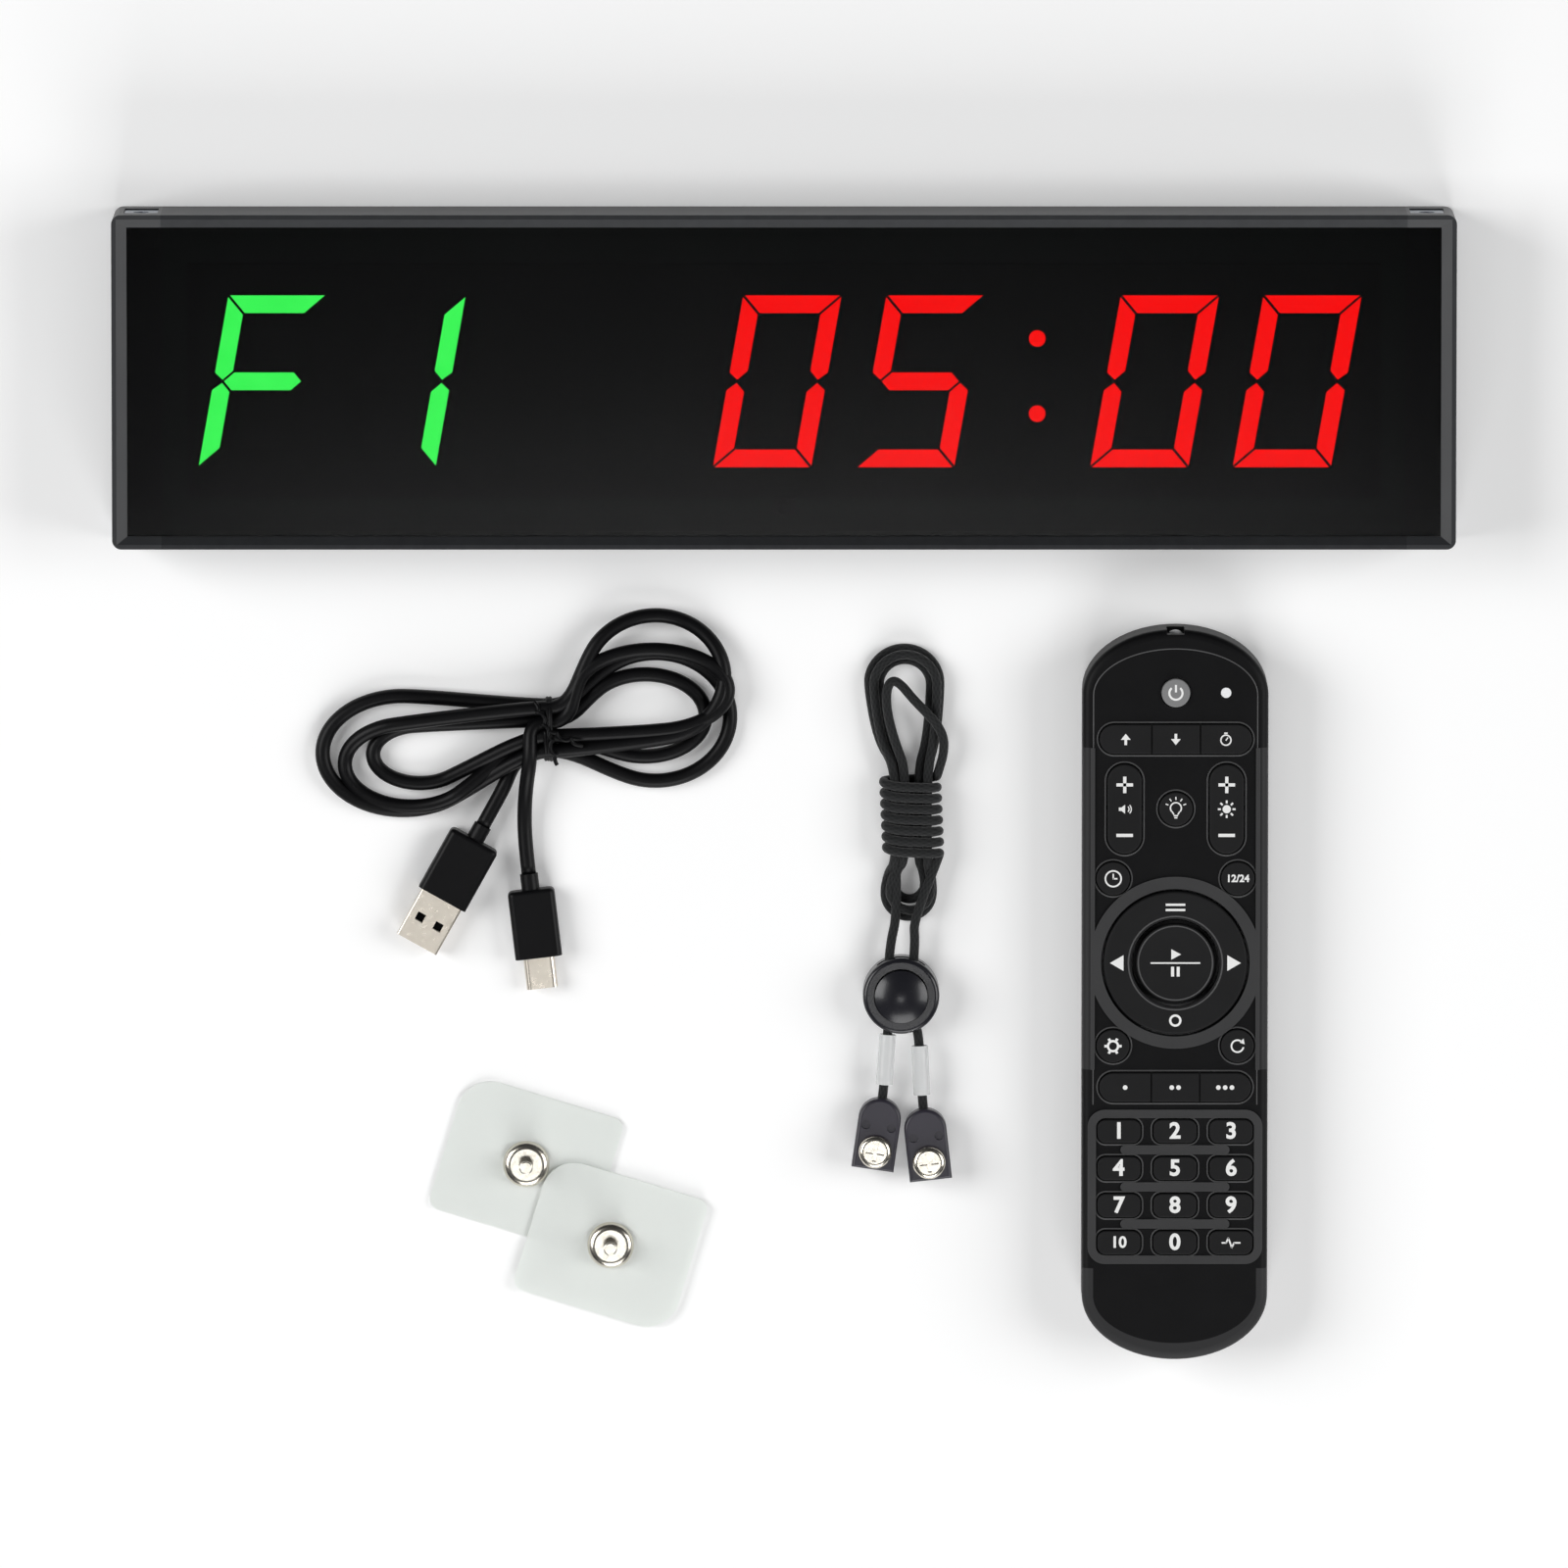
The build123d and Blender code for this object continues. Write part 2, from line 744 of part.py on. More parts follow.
def remote_bottom_shell():
    """Rear half of the case, stepped and open under the cells for the sliding door."""
    shell = raised(remote_outline(), 0, parting_height)
    shell = fillet(shell.faces().sort_by(Axis.Z)[0].edges(), remote_base_radius)
    inner = remote_outline(remote_wall)
    floor_top = shell_floor + bay_floor
    head_part = block(remote_span, (door_front + bay_end_wall + 0.4, remote_head), (0, remote_thickness))
    shell -= raised(inner, floor_top, parting_height + 1)
    shell -= raised(inner, remote_wall, floor_top + 1) & head_part
    tail = block(remote_span, (remote_tail - 5, door_front + run_gap), (-1, shell_floor))
    shell -= tail
    x_span, y_span = battery_opening()
    shell -= block(x_span, y_span, (-1, floor_top + 1))
    notch_y = (rail_start - door_slide - rail_length - 0.5, rail_start - door_slide + 0.5)
    shell -= block((x_span[0] - 2.2, x_span[1] + 2.2), notch_y, (-1, floor_top + 1))
    # end walls of the battery bay
    for y in (bay_top + 0.2, bay_top - bay_length - 0.2 - bay_end_wall):
        wall_span = (remote_x - bay_half_width + 0.5, remote_x + bay_half_width - 0.5)
        shell += block(wall_span, (y, y + bay_end_wall), (floor_top - 0.6, cell_axis_height + 3.5))
    for x, y in post_places:
        shell += rod_z(2.2, remote_x + x, y, (remote_wall - 0.5, remote_board_bottom - fit_gap))
    return shell


def battery_door():
    """Sliding door that takes in the tail's whole underside, with two hooked rails."""
    slab = raised(remote_outline(), 0, parting_height)
    slab = fillet(slab.faces().sort_by(Axis.Z)[0].edges(), remote_base_radius)
    slab &= block(remote_span, (remote_tail - 5, door_front), (floor_gap, door_top))
    rail_y = (rail_start - rail_length, rail_start)
    floor_top = shell_floor + bay_floor
    for side in (-1, 1):
        edge = remote_x + side * (bay_half_width - run_gap)
        wall = sorted((edge, edge - side * 0.8))
        slab += block(wall, rail_y, (door_top - 0.3, floor_top + 1.1))
        hook = sorted((edge - side * 0.8, edge + side * 1.8))
        slab += block(hook, rail_y, (floor_top + run_gap, floor_top + 1.1))
    return slab


def batteries():
    """Two cells side by side, the second turned end for end."""
    cells = []
    middle = bay_top - bay_length / 2
    for side in (-1, 1):
        x = remote_x + side * cell_pitch / 2
        start = middle - cell_aaa_length / 2 - side * cell_nub_height / 2
        end = start + cell_aaa_length
        body = rod_y(cell_aaa_radius, (start, end), x, cell_axis_height)
        if side > 0:
            nub = (end - 0.1, end + cell_nub_height)
        else:
            nub = (start - cell_nub_height, start + 0.1)
        cells.append(body + rod_y(cell_nub_radius, nub, x, cell_axis_height))
    return cells


def battery_contacts():
    """Flat plates at each end of the bay, with a conical spring on each negative one."""
    contacts = []
    low = cell_axis_height - 3.5
    high = cell_axis_height + 3.5
    middle = bay_top - bay_length / 2
    for side in (-1, 1):
        x = remote_x + side * cell_pitch / 2
        for end in (-1, 1):
            face = middle + end * (bay_length / 2 + 0.1)
            plate = block((x - 4, x + 4), sorted((face, face - end * 0.4)), (low, high))
            if side != end:
                cell_end = middle - side * cell_nub_height / 2 + end * cell_aaa_length / 2
                reach = abs(face - end * 0.4 - cell_end) - 0.05
                cone = Cone(3.2, 2.0, reach + 0.1)
                spring_y = face - end * (0.3 + reach / 2)
                plate += Pos(x, spring_y, cell_axis_height) * Rot(90 * end, 0, 0) * cone
            contacts.append(plate)
    return contacts


def remote_board():
    inset = remote_wall + 1.0
    board = raised(remote_outline(inset), remote_board_bottom, remote_board_bottom + remote_board_thickness)
    head = block(remote_span, (remote_head - 10.2, remote_head), (0, 30))
    tail = block(remote_span, (remote_tail - 5, remote_tail + 15.4), (0, 30))
    return board - head - tail


def contact_mat():
    """Rubber sheet with a low dome under each key."""
    inset = remote_wall + 1.4
    mat = raised(remote_outline(inset), mat_bottom, mat_top)
    mat -= block(remote_span, (remote_head - 11.2, remote_head), (0, 30))
    mat -= block(remote_span, (remote_tail - 5, remote_tail + 22.4), (0, 30))
    mat -= rod_z(indicator_radius + 0.5, *indicator_place, (0, 30))
    return mat


def remote_lights():
    """Indicator light under the face, and the infrared sender at the head."""
    low = remote_board_bottom + remote_board_thickness + 0.02
    indicator = rod_z(indicator_radius, *indicator_place, (low, remote_thickness + 0.2))
    head = remote_y + remote_length / 2
    sender = rod_y(sender_radius, (head - 9.0, head - 3.0), remote_x, sender_height)
    sender += Pos(remote_x, head - 3.0, sender_height) * Sphere(sender_radius)
    return [indicator, sender]


def remote_trim():
    """Raised grey plates: the number pad's frame and bars, the ring's band and the two side bands."""
    low = remote_thickness
    high = remote_thickness + trim_thickness
    middle = Pos(ring_place[0], pad_frame_y, 0)
    outer = [size + 2 * pad_frame_width for size in pad_frame_inner]
    frame = middle * RectangleRounded(*outer, 4.6)
    frame -= middle * RectangleRounded(*pad_frame_inner, 2.4)
    pieces = [raised(frame, low, high)]
    for row in range(rows_of_numbers - 1):
        y = (pad_row_height(row) + pad_row_height(row + 1)) / 2
        pieces.append(raised(pill_face(ring_place[0], y, *trim_bar), low, high))
    band = round_face(*ring_place, ring_band_radius) - round_face(*ring_place, ring_radius + ring_gap + 0.2)
    side_bands = remote_outline(remote_edge_radius) - remote_outline(remote_edge_radius + side_band_width)
    side_bands &= Pos(remote_x, -32.4, 0) * Rectangle(2 * remote_width, 86.0)
    whole = band & remote_outline(remote_edge_radius)
    pieces.append(raised(whole + side_bands, low, high))
    return pieces


# the remote control
save("remote_top_shell", remote_top_shell())
save("remote_bottom_shell", remote_bottom_shell())
save("battery_door", battery_door())
save("batteries", *batteries())
save("battery_contacts", *battery_contacts())
save("remote_board", remote_board())
save("contact_mat", contact_mat())
save("remote_lights", *remote_lights())
save("remote_trim", *remote_trim())
for name, outline in pressed_keys.items():
    if name in ("count_keys", "mode_keys"):
        save(name, strip_key(outline))
    elif name.startswith("number_row"):
        save(name, number_row_key(outline))
    else:
        save(name, key_with_flange(outline))
for name, place in rockers.items():
    save(name, rocker_key(place))
save("direction_ring", direction_ring())
save("ring_carrier", ring_carrier())


# routes of the free stretches of cable and rope, from each fitting to its hank
lead_a_route = (
    (-80.2, -11.7, 3.75),
    (-77.3, -6.5, 3.75),
    (-74.3, -1.0, 4.4),
    (-72.3, 4.3, 5.8),
)
lead_c_route = (
    (-68.0, -24.7, 3.25),
    (-68.85, -17.5, 3.25),
    (-69.2, -9.8, 3.6),
    (-68.8, -2.0, 4.7),
    (-67.5, 6.9, 6.4),
)
left_rope_route = (
    (29.9, -36.6, 4.8),
    (28.6, -42.0, 5.6),
    (27.9, -48.0, rope_height),
    (27.95, -56.0, rope_height),
    (27.75, -66.0, rope_height),
    (26.6, -82.6, rope_height),
    (25.5, -90.2, rope_height),
)
right_rope_route = (
    (34.5, -37.0, 4.8),
    (34.9, -42.0, 5.6),
    (34.5, -48.5, rope_height),
    (34.45, -56.5, rope_height),
    (34.8, -63.5, rope_height),
    (36.1, -69.0, rope_height),
    (36.85, -85.4, rope_height),
    (37.7, -93.0, rope_height),
)
smallest_bends = {"cable": 5 * cable_diameter, "rope": 3 * rope_diameter}

# plugs
plug_neck = (2.4, 4.2)
usb_a_boot = (14.1, 7.5, 18.2)
usb_a_shell_size = (12.0, 4.5, 13.9)
usb_c_boot = (12.5, 6.5, 18.3)
usb_c_shell_size = (8.34, 2.56, 8.4)
shell_sheet = 0.3
latch_window = 2.3
latch_window_place = (2.7, 7.0)
latch_window_depth = 1.4
dimple_radius = 0.6
dimple_depth = 0.2

# the cable's hank: two lobes that narrow to a waist under the tie
left_lobe = ((-101.5, 7.5), (22.2, 15.6))
right_lobe = ((-34.5, 22.3), (21.8, 22.9))
lobe_height = 8.0
waist_span = ((-68.5, -56.5), (6.5, 21.5), (1.0, 9.2))
tie_x = (-64.7, -60.7)
tie_sheet = 0.8
tie_gap = 0.1

# the rope's hank: upper loops, wraps and lower loops
upper_loops = ((32.0, 18.5), (22.0, 38.0))
wraps_place = (34.0, -8.5)
wraps_size = (17.0, 25.0)
wraps_height = 9.6
lower_loops = ((33.4, -27.5), (15.8, 21.4))
loops_height = 7.2


def bend_radii(points):
    """The largest radius that each corner's two runs allow."""
    radii = []
    for before, corner, after in zip(points, points[1:], points[2:]):
        run_in = Vector(*corner) - Vector(*before)
        run_out = Vector(*after) - Vector(*corner)
        turn = math.radians(run_in.get_angle(run_out))
        radii.append(0.45 * min(run_in.length, run_out.length) / math.tan(turn / 2))
    return radii


def cord_tube(name, points, diameter):
    """Tube along straight runs joined by tangent arcs."""
    radii = bend_radii(points)
    path = FilletPolyline(*points, radius=radii)
    tube = sweep(Plane(origin=path @ 0, z_dir=path % 0) * Circle(diameter / 2), path=path)
    full = math.pi * diameter**2 / 4 * path.length
    print(name, "length", round(path.length, 1), "bend radii", [round(r, 1) for r in radii])
    print(name, "volume", round(tube.volume, 1), "of", round(full, 1))
    return tube


def end_place(route, reverse=False):
    """Place at a route's first point whose local -Y runs on out of the cord."""
    first, second = route[0], route[1]
    if reverse:
        first, second = route[-1], route[-2]
    heading = math.degrees(math.atan2(first[1] - second[1], first[0] - second[0]))
    return Pos(*first) * Rot(0, 0, heading + 90)


def plug_boot(size, wire_end):
    """Overmould with rounded edges and a neck on the cord's side, along local -Y."""
    width, thick, length = size
    neck_radius, neck_length = plug_neck
    boot = block((-width / 2, width / 2), (-neck_length - length, -neck_length), (-thick / 2, thick / 2))
    boot = fillet(boot.edges().filter_by(Axis.Y), 1.6)
    boot = fillet(boot.faces().sort_by(Axis.Y)[-1].edges(), 1.2)
    boot += rod_y(neck_radius, (-neck_length - 0.5, 0), 0, 0)
    return wire_end * boot


def plug_shell(boot_size, shell_size, rounded, wire_end):
    """Thin metal mouth standing out of the overmould, with its contact tongue."""
    width, thick, length = shell_size
    start = -plug_neck[1] - boot_size[2]
    if rounded:
        outer = SlotOverall(width, thick)
        inner = SlotOverall(width - 2 * shell_sheet, thick - 2 * shell_sheet)
    else:
        outer = RectangleRounded(width, thick, 0.5)
        inner = Rectangle(width - 2 * shell_sheet, thick - 2 * shell_sheet)
    shell = Pos(0, start, 0) * extrude(Plane.XZ * outer, amount=length)
    shell -= Pos(0, start - 0.8, 0) * extrude(Plane.XZ * inner, amount=length)
    if rounded:
        for side in (-1, 1):
            low, high = sorted((side * 0.35, side * (thick / 2 - shell_sheet)))
            bar = block((-width / 2 + 1.3, width / 2 - 1.3), (start - length + 1.2, start - 0.5), (low, high))
            shell += bar
    else:
        shell += block((-5.2, 5.2), (start - length + 0.7, start - 0.5), (0.1, thick / 2 - shell_sheet))
        for x in (-latch_window_place[0], latch_window_place[0]):
            across = (x - latch_window / 2, x + latch_window / 2)
            middle = start - latch_window_place[1]
            along = (middle - latch_window / 2, middle + latch_window / 2)
            shell -= block(across, along, (thick / 2 - latch_window_depth, thick))
        dimple_y = start - latch_window_place[1] / 2
        shell -= rod_z(dimple_radius, 0, dimple_y, (thick / 2 - dimple_depth, thick))
    return wire_end * shell


def cable_hank():
    """Outer shape of the wound cable, narrowed where the tie goes round it."""
    (x_low, x_high), (y_low, y_high), _ = waist_span
    neck = Pos((x_low + x_high) / 2, (y_low + y_high) / 2, 0) * Rectangle(x_high - x_low, y_high - y_low)
    hank = block(*waist_span)
    for middle, radii in (left_lobe, right_lobe):
        lobe = Pos(*middle, 0) * Ellipse(*radii)
        outline = make_hull(lobe.edges() + neck.edges())
        side = block((-200, tie_x[0] - 0.3), (-60, 60), (-1, 20))
        if middle[0] > tie_x[1]:
            side = block((tie_x[1] + 0.3, 200), (-60, 60), (-1, 20))
        hank += raised(outline, 0.05, lobe_height) & side
    return hank


def cable_tie():
    """Flat tie round the waist, with its two twisted ends."""
    (y_low, y_high), (z_low, z_high) = waist_span[1], waist_span[2]
    outer = block(
        tie_x,
        (y_low - tie_gap - tie_sheet, y_high + tie_gap + tie_sheet),
        (z_low - tie_gap - tie_sheet, z_high + tie_gap + tie_sheet),
    )
    inner = block(
        (tie_x[0] - 1, tie_x[1] + 1), (y_low - tie_gap, y_high + tie_gap), (z_low - tie_gap, z_high + tie_gap)
    )
    top = z_high + tie_gap + tie_sheet
    middle = (tie_x[0] + tie_x[1]) / 2
    ends = Pos(middle + 1.5, (y_low + y_high) / 2, top + 0.6) * Rot(0, 0, 65) * Box(11, 1.6, 1.4)
    ends += Pos(middle - 1.0, (y_low + y_high) / 2, top + 0.6) * Rot(0, 0, -30) * Box(10, 1.6, 1.4)
    return outer - inner + ends


def rope_hank():
    (x, y), (width, length) = upper_loops
    hank = raised(pill_face(x, y, length, width, 90), 0.05, loops_height)
    (x, y), (width, length) = lower_loops
    hank += raised(pill_face(x, y, length, width, 90), 0.05, loops_height)
    x, y = wraps_place
    width, length = wraps_size
    oval = RectangleRounded(width, wraps_height, wraps_height / 2 - 0.1)
    section = Plane.XZ * Pos(0, wraps_height / 2, 0) * oval
    return hank + Pos(x, y + length / 2, 0.02) * extrude(section, amount=length)


def lock_body():
    """Round cup with a crossways passage for the two strands and a well for the button."""
    x, y = lock_place
    body_top = rope_height + rope_diameter / 2 + run_gap + 1.9
    body = rod_z(lock_radius, x, y, (0, body_top))
    body = fillet(body.edges().group_by(Axis.Z)[-1], 1.2)
    body -= rod_z(button_radius + run_gap, x, y, (lock_floor, body_top + 1))
    half_slot = 6.4
    half_tall = rope_diameter / 2 + 0.35
    return body - block(
        (x - half_slot, x + half_slot),
        (y - lock_radius - 1, y + lock_radius + 1),
        (rope_height - half_tall, rope_height + half_tall),
    )


def lock_button():
    """Domed plunger, slotted for the strands over its whole travel."""
    x, y = lock_place
    slot_low = rope_height - rope_diameter / 2 - run_gap
    slot_high = rope_height + rope_diameter / 2 + run_gap + button_travel
    low = slot_low - button_floor
    top = slot_high + button_rise
    button = rod_z(button_radius, x, y, (low, top))
    dome_radius = 16.0
    drop = dome_radius - math.sqrt(dome_radius**2 - button_radius**2)
    dome = Pos(x, y, top + drop - dome_radius) * Sphere(dome_radius)
    button += dome & rod_z(button_radius, x, y, (top - 1, top + 5))
    return button - block((x - 5.2, x + 5.2), (y - 10, y + 10), (slot_low, slot_high))


def lock_spring():
    """Return spring between the button and the cup's floor."""
    x, y = lock_place
    low = lock_floor + 0.05
    high = rope_height - rope_diameter / 2 - run_gap - button_floor - 0.05
    return rod_z(4.0, x, y, (low, high)) - rod_z(3.2, x, y, (low - 1, high + 1))


def sleeve(route):
    """Clear tube over the run between the cord lock and an end tab."""
    start, end = Vector(*route[-3]), Vector(*route[-2])
    along = (end - start).normalized()
    first = start + along * 1.5
    length = (end - start).length - 3.2
    plane = Plane(origin=first, z_dir=along)
    return extrude(plane * (Circle(sleeve_radius) - Circle(sleeve_bore_radius)), amount=length)


def tab_place(route):
    """Place of a tab's rounded end, with local -Y along the tab."""
    start, end = Vector(*route[-2]), Vector(*route[-1])
    along = (end - start).normalized()
    origin = start + along * 2.0
    heading = math.degrees(math.atan2(along.Y, along.X))
    return Pos(origin.X, origin.Y, origin.Z) * Rot(0, 0, heading + 90)


def end_tab(route):
    """Flat plastic tab: rope socket in its rounded end, screw hole near the other."""
    half = tab_width / 2
    face = Pos(0, -half, 0) * Circle(half)
    face += Pos(0, -(tab_length + half) / 2, 0) * Rectangle(tab_width, tab_length - half)
    tab = extrude(Pos(0, 0, -tab_thickness / 2) * face, amount=tab_thickness)
    tab = fillet(tab.faces().sort_by(Axis.Z)[-1].edges(), 0.9)
    tab -= rod_y(rope_diameter / 2 + 0.25, (-8.0, 1), 0, 0)
    screw_y = tab_screw_from_end - tab_length
    tab -= rod_z(tab_screw_radius + 0.15, 0, screw_y, (-9, 9))
    for x in (-3.4, 3.4):
        tab -= rod_z(1.25, x, -7.4, (tab_thickness / 2 - 0.7, 9))
    return tab_place(route) * tab


def end_screw(route):
    """Pan-head screw through the tab, its tip on the table."""
    screw_y = tab_screw_from_end - tab_length
    head_low = tab_thickness / 2 + 0.05
    screw = rod_z(tab_screw_radius, 0, screw_y, (-rope_height + 0.02, head_low + 0.1))
    head = rod_z(tab_screw_head_radius, 0, screw_y, (head_low, head_low + tab_screw_head_height))
    screw += fillet(head.edges().group_by(Axis.Z)[-1], 1.3)
    for wide, tall in ((5.0, 1.1), (1.1, 5.0)):
        screw -= Pos(0, screw_y, head_low + tab_screw_head_height) * Box(wide, tall, 2.4)
    return tab_place(route) * screw


def pad(place, low):
    x, y = place
    face = Pos(x, y, 0) * Rot(0, 0, pad_turn) * Rectangle(pad_length, pad_width)
    sheet = raised(face, low, low + pad_thickness)
    corners = sheet.edges().filter_by(Axis.Z).sort_by(Axis.X)
    sheet = fillet([corners[0], corners[-1]], small_pad_corner)
    others = sheet.edges().filter_by(Axis.Z).sort_by(Axis.Y)
    return fillet([others[0], others[-1]], large_pad_corner)


def stud(place, low):
    """Domed base with a pin that stands up from it."""
    x, y = place
    base = rod_z(stud_base_radius, x, y, (low, low + stud_base_height))
    base = fillet(base.edges().group_by(Axis.Z)[-1], 2.0)
    base += rod_z(stud_pin_radius, x, y, (low + 0.5, low + stud_base_height + stud_pin_length))
    return fillet(base.edges().group_by(Axis.Z)[-1], 0.4)


# the power cable
wire_end_a = end_place(lead_a_route)
wire_end_c = end_place(lead_c_route)
save("cable_lead_a", cord_tube("cable_lead_a", lead_a_route, cable_diameter))
save("cable_lead_c", cord_tube("cable_lead_c", lead_c_route, cable_diameter))
save("cable_hank", cable_hank())
save("cable_tie", cable_tie())
save("usb_a_boot", plug_boot(usb_a_boot, wire_end_a))
save("usb_a_shell", plug_shell(usb_a_boot, usb_a_shell_size, False, wire_end_a))
save("usb_c_boot", plug_boot(usb_c_boot, wire_end_c))
save("usb_c_shell", plug_shell(usb_c_boot, usb_c_shell_size, True, wire_end_c))

# the hanging rope
rope_routes = (left_rope_route, right_rope_route)
rope_leads = [cord_tube("rope_lead", route, rope_diameter) for route in rope_routes]
save("rope_leads", *rope_leads)
save("rope_hank", rope_hank())
save("cord_lock_body", lock_body())
save("cord_lock_button", lock_button())
save("cord_lock_spring", lock_spring())
save("rope_sleeves", *[sleeve(route) for route in rope_routes])
save("rope_end_tabs", *[end_tab(route) for route in rope_routes])
save("rope_end_screws", *[end_screw(route) for route in rope_routes])

# the adhesive hooks, the second lapped over the first
second_pad_low = pad_thickness + 0.05
save("adhesive_pads", pad(first_pad_place, 0), pad(second_pad_place, second_pad_low))
save(
    "hook_studs",
    stud(first_pad_place, pad_thickness),
    stud(second_pad_place, second_pad_low + pad_thickness),
)
print("smallest bend radii allowed", smallest_bends)
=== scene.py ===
import bpy
import bmesh
import json
import math
from mathutils import Matrix, Vector
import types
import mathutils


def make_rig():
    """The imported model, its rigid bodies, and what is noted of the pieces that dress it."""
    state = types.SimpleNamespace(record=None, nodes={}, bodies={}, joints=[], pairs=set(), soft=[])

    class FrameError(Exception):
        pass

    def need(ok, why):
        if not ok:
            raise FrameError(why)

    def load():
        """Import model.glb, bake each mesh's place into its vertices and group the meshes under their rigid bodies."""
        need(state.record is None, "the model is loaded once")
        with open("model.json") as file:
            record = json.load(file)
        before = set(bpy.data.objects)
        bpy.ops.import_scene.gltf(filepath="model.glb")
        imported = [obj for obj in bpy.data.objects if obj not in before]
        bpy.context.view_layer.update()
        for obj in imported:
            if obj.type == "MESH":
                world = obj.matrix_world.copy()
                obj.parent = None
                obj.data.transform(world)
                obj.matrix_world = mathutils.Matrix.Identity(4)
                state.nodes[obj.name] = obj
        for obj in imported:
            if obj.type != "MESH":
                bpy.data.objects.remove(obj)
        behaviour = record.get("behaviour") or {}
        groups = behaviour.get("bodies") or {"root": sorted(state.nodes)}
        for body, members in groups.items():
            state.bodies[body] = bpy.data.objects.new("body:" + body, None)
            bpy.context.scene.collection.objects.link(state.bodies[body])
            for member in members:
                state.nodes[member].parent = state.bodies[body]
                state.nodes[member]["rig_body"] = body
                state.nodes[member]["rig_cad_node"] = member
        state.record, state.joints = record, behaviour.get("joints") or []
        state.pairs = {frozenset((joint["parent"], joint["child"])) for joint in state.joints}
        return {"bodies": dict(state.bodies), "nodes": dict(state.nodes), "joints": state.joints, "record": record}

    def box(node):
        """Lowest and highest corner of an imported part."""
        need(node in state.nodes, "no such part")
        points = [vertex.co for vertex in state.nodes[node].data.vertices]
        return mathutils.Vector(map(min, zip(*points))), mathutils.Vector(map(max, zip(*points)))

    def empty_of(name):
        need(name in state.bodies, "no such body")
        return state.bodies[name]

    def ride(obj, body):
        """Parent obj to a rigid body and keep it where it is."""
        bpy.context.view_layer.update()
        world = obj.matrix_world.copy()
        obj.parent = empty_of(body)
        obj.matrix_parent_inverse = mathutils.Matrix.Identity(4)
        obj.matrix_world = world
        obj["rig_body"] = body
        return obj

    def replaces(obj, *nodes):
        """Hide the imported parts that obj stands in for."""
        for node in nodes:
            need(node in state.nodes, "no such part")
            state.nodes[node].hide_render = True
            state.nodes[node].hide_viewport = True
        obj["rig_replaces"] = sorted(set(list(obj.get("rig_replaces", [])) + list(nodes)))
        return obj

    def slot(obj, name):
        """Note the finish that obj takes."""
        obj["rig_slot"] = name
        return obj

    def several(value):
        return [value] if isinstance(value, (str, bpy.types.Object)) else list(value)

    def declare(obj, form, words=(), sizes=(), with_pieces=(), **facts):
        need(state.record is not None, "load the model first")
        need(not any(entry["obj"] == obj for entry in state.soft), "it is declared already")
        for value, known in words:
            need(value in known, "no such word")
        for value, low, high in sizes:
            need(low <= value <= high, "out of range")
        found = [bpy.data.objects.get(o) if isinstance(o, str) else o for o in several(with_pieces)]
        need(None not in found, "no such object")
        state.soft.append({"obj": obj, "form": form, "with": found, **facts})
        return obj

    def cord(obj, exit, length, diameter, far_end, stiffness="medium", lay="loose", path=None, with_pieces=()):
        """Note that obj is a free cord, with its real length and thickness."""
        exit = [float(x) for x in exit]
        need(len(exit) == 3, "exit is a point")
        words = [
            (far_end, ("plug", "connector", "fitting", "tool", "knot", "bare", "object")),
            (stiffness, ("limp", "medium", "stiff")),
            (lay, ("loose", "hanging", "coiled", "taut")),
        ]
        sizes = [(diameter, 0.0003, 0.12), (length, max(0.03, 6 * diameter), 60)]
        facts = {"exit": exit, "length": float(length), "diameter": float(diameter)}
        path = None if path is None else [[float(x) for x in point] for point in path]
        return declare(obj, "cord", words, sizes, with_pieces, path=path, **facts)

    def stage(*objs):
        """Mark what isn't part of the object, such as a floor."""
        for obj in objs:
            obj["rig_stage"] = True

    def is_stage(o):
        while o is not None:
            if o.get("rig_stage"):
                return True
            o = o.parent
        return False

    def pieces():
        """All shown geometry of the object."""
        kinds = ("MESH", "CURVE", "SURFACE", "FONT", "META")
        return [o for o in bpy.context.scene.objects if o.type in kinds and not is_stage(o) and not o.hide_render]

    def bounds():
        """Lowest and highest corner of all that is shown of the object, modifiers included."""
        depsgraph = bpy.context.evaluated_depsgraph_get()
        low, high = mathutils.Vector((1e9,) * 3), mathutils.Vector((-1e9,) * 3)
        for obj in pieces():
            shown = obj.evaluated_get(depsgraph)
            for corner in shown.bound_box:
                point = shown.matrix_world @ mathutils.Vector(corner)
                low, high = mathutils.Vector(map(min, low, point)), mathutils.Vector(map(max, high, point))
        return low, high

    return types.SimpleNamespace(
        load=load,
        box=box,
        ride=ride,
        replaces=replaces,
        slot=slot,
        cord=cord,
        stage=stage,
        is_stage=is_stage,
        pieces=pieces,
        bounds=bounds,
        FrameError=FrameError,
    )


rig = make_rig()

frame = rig.load()
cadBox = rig.bounds()
nodes = frame["nodes"]
mm = 0.001
print("frame loaded:", len(nodes), "parts")


def inMetres(points):
    return [tuple(value * mm for value in point) for point in points]


def middleOf(node):
    low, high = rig.box(node)
    return (low + high) / 2


def topOf(node):
    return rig.box(node)[1].z


# camera: a long lens above the table, leaning a little towards the display's top side
camera = {
    "lean": 6.3,
    "distance": 5.79,
    "lens": 500,
    "sensor": 36,
    "lookAt": (0.0, 0.0005, 0.014),
    "farClip": 20,
}


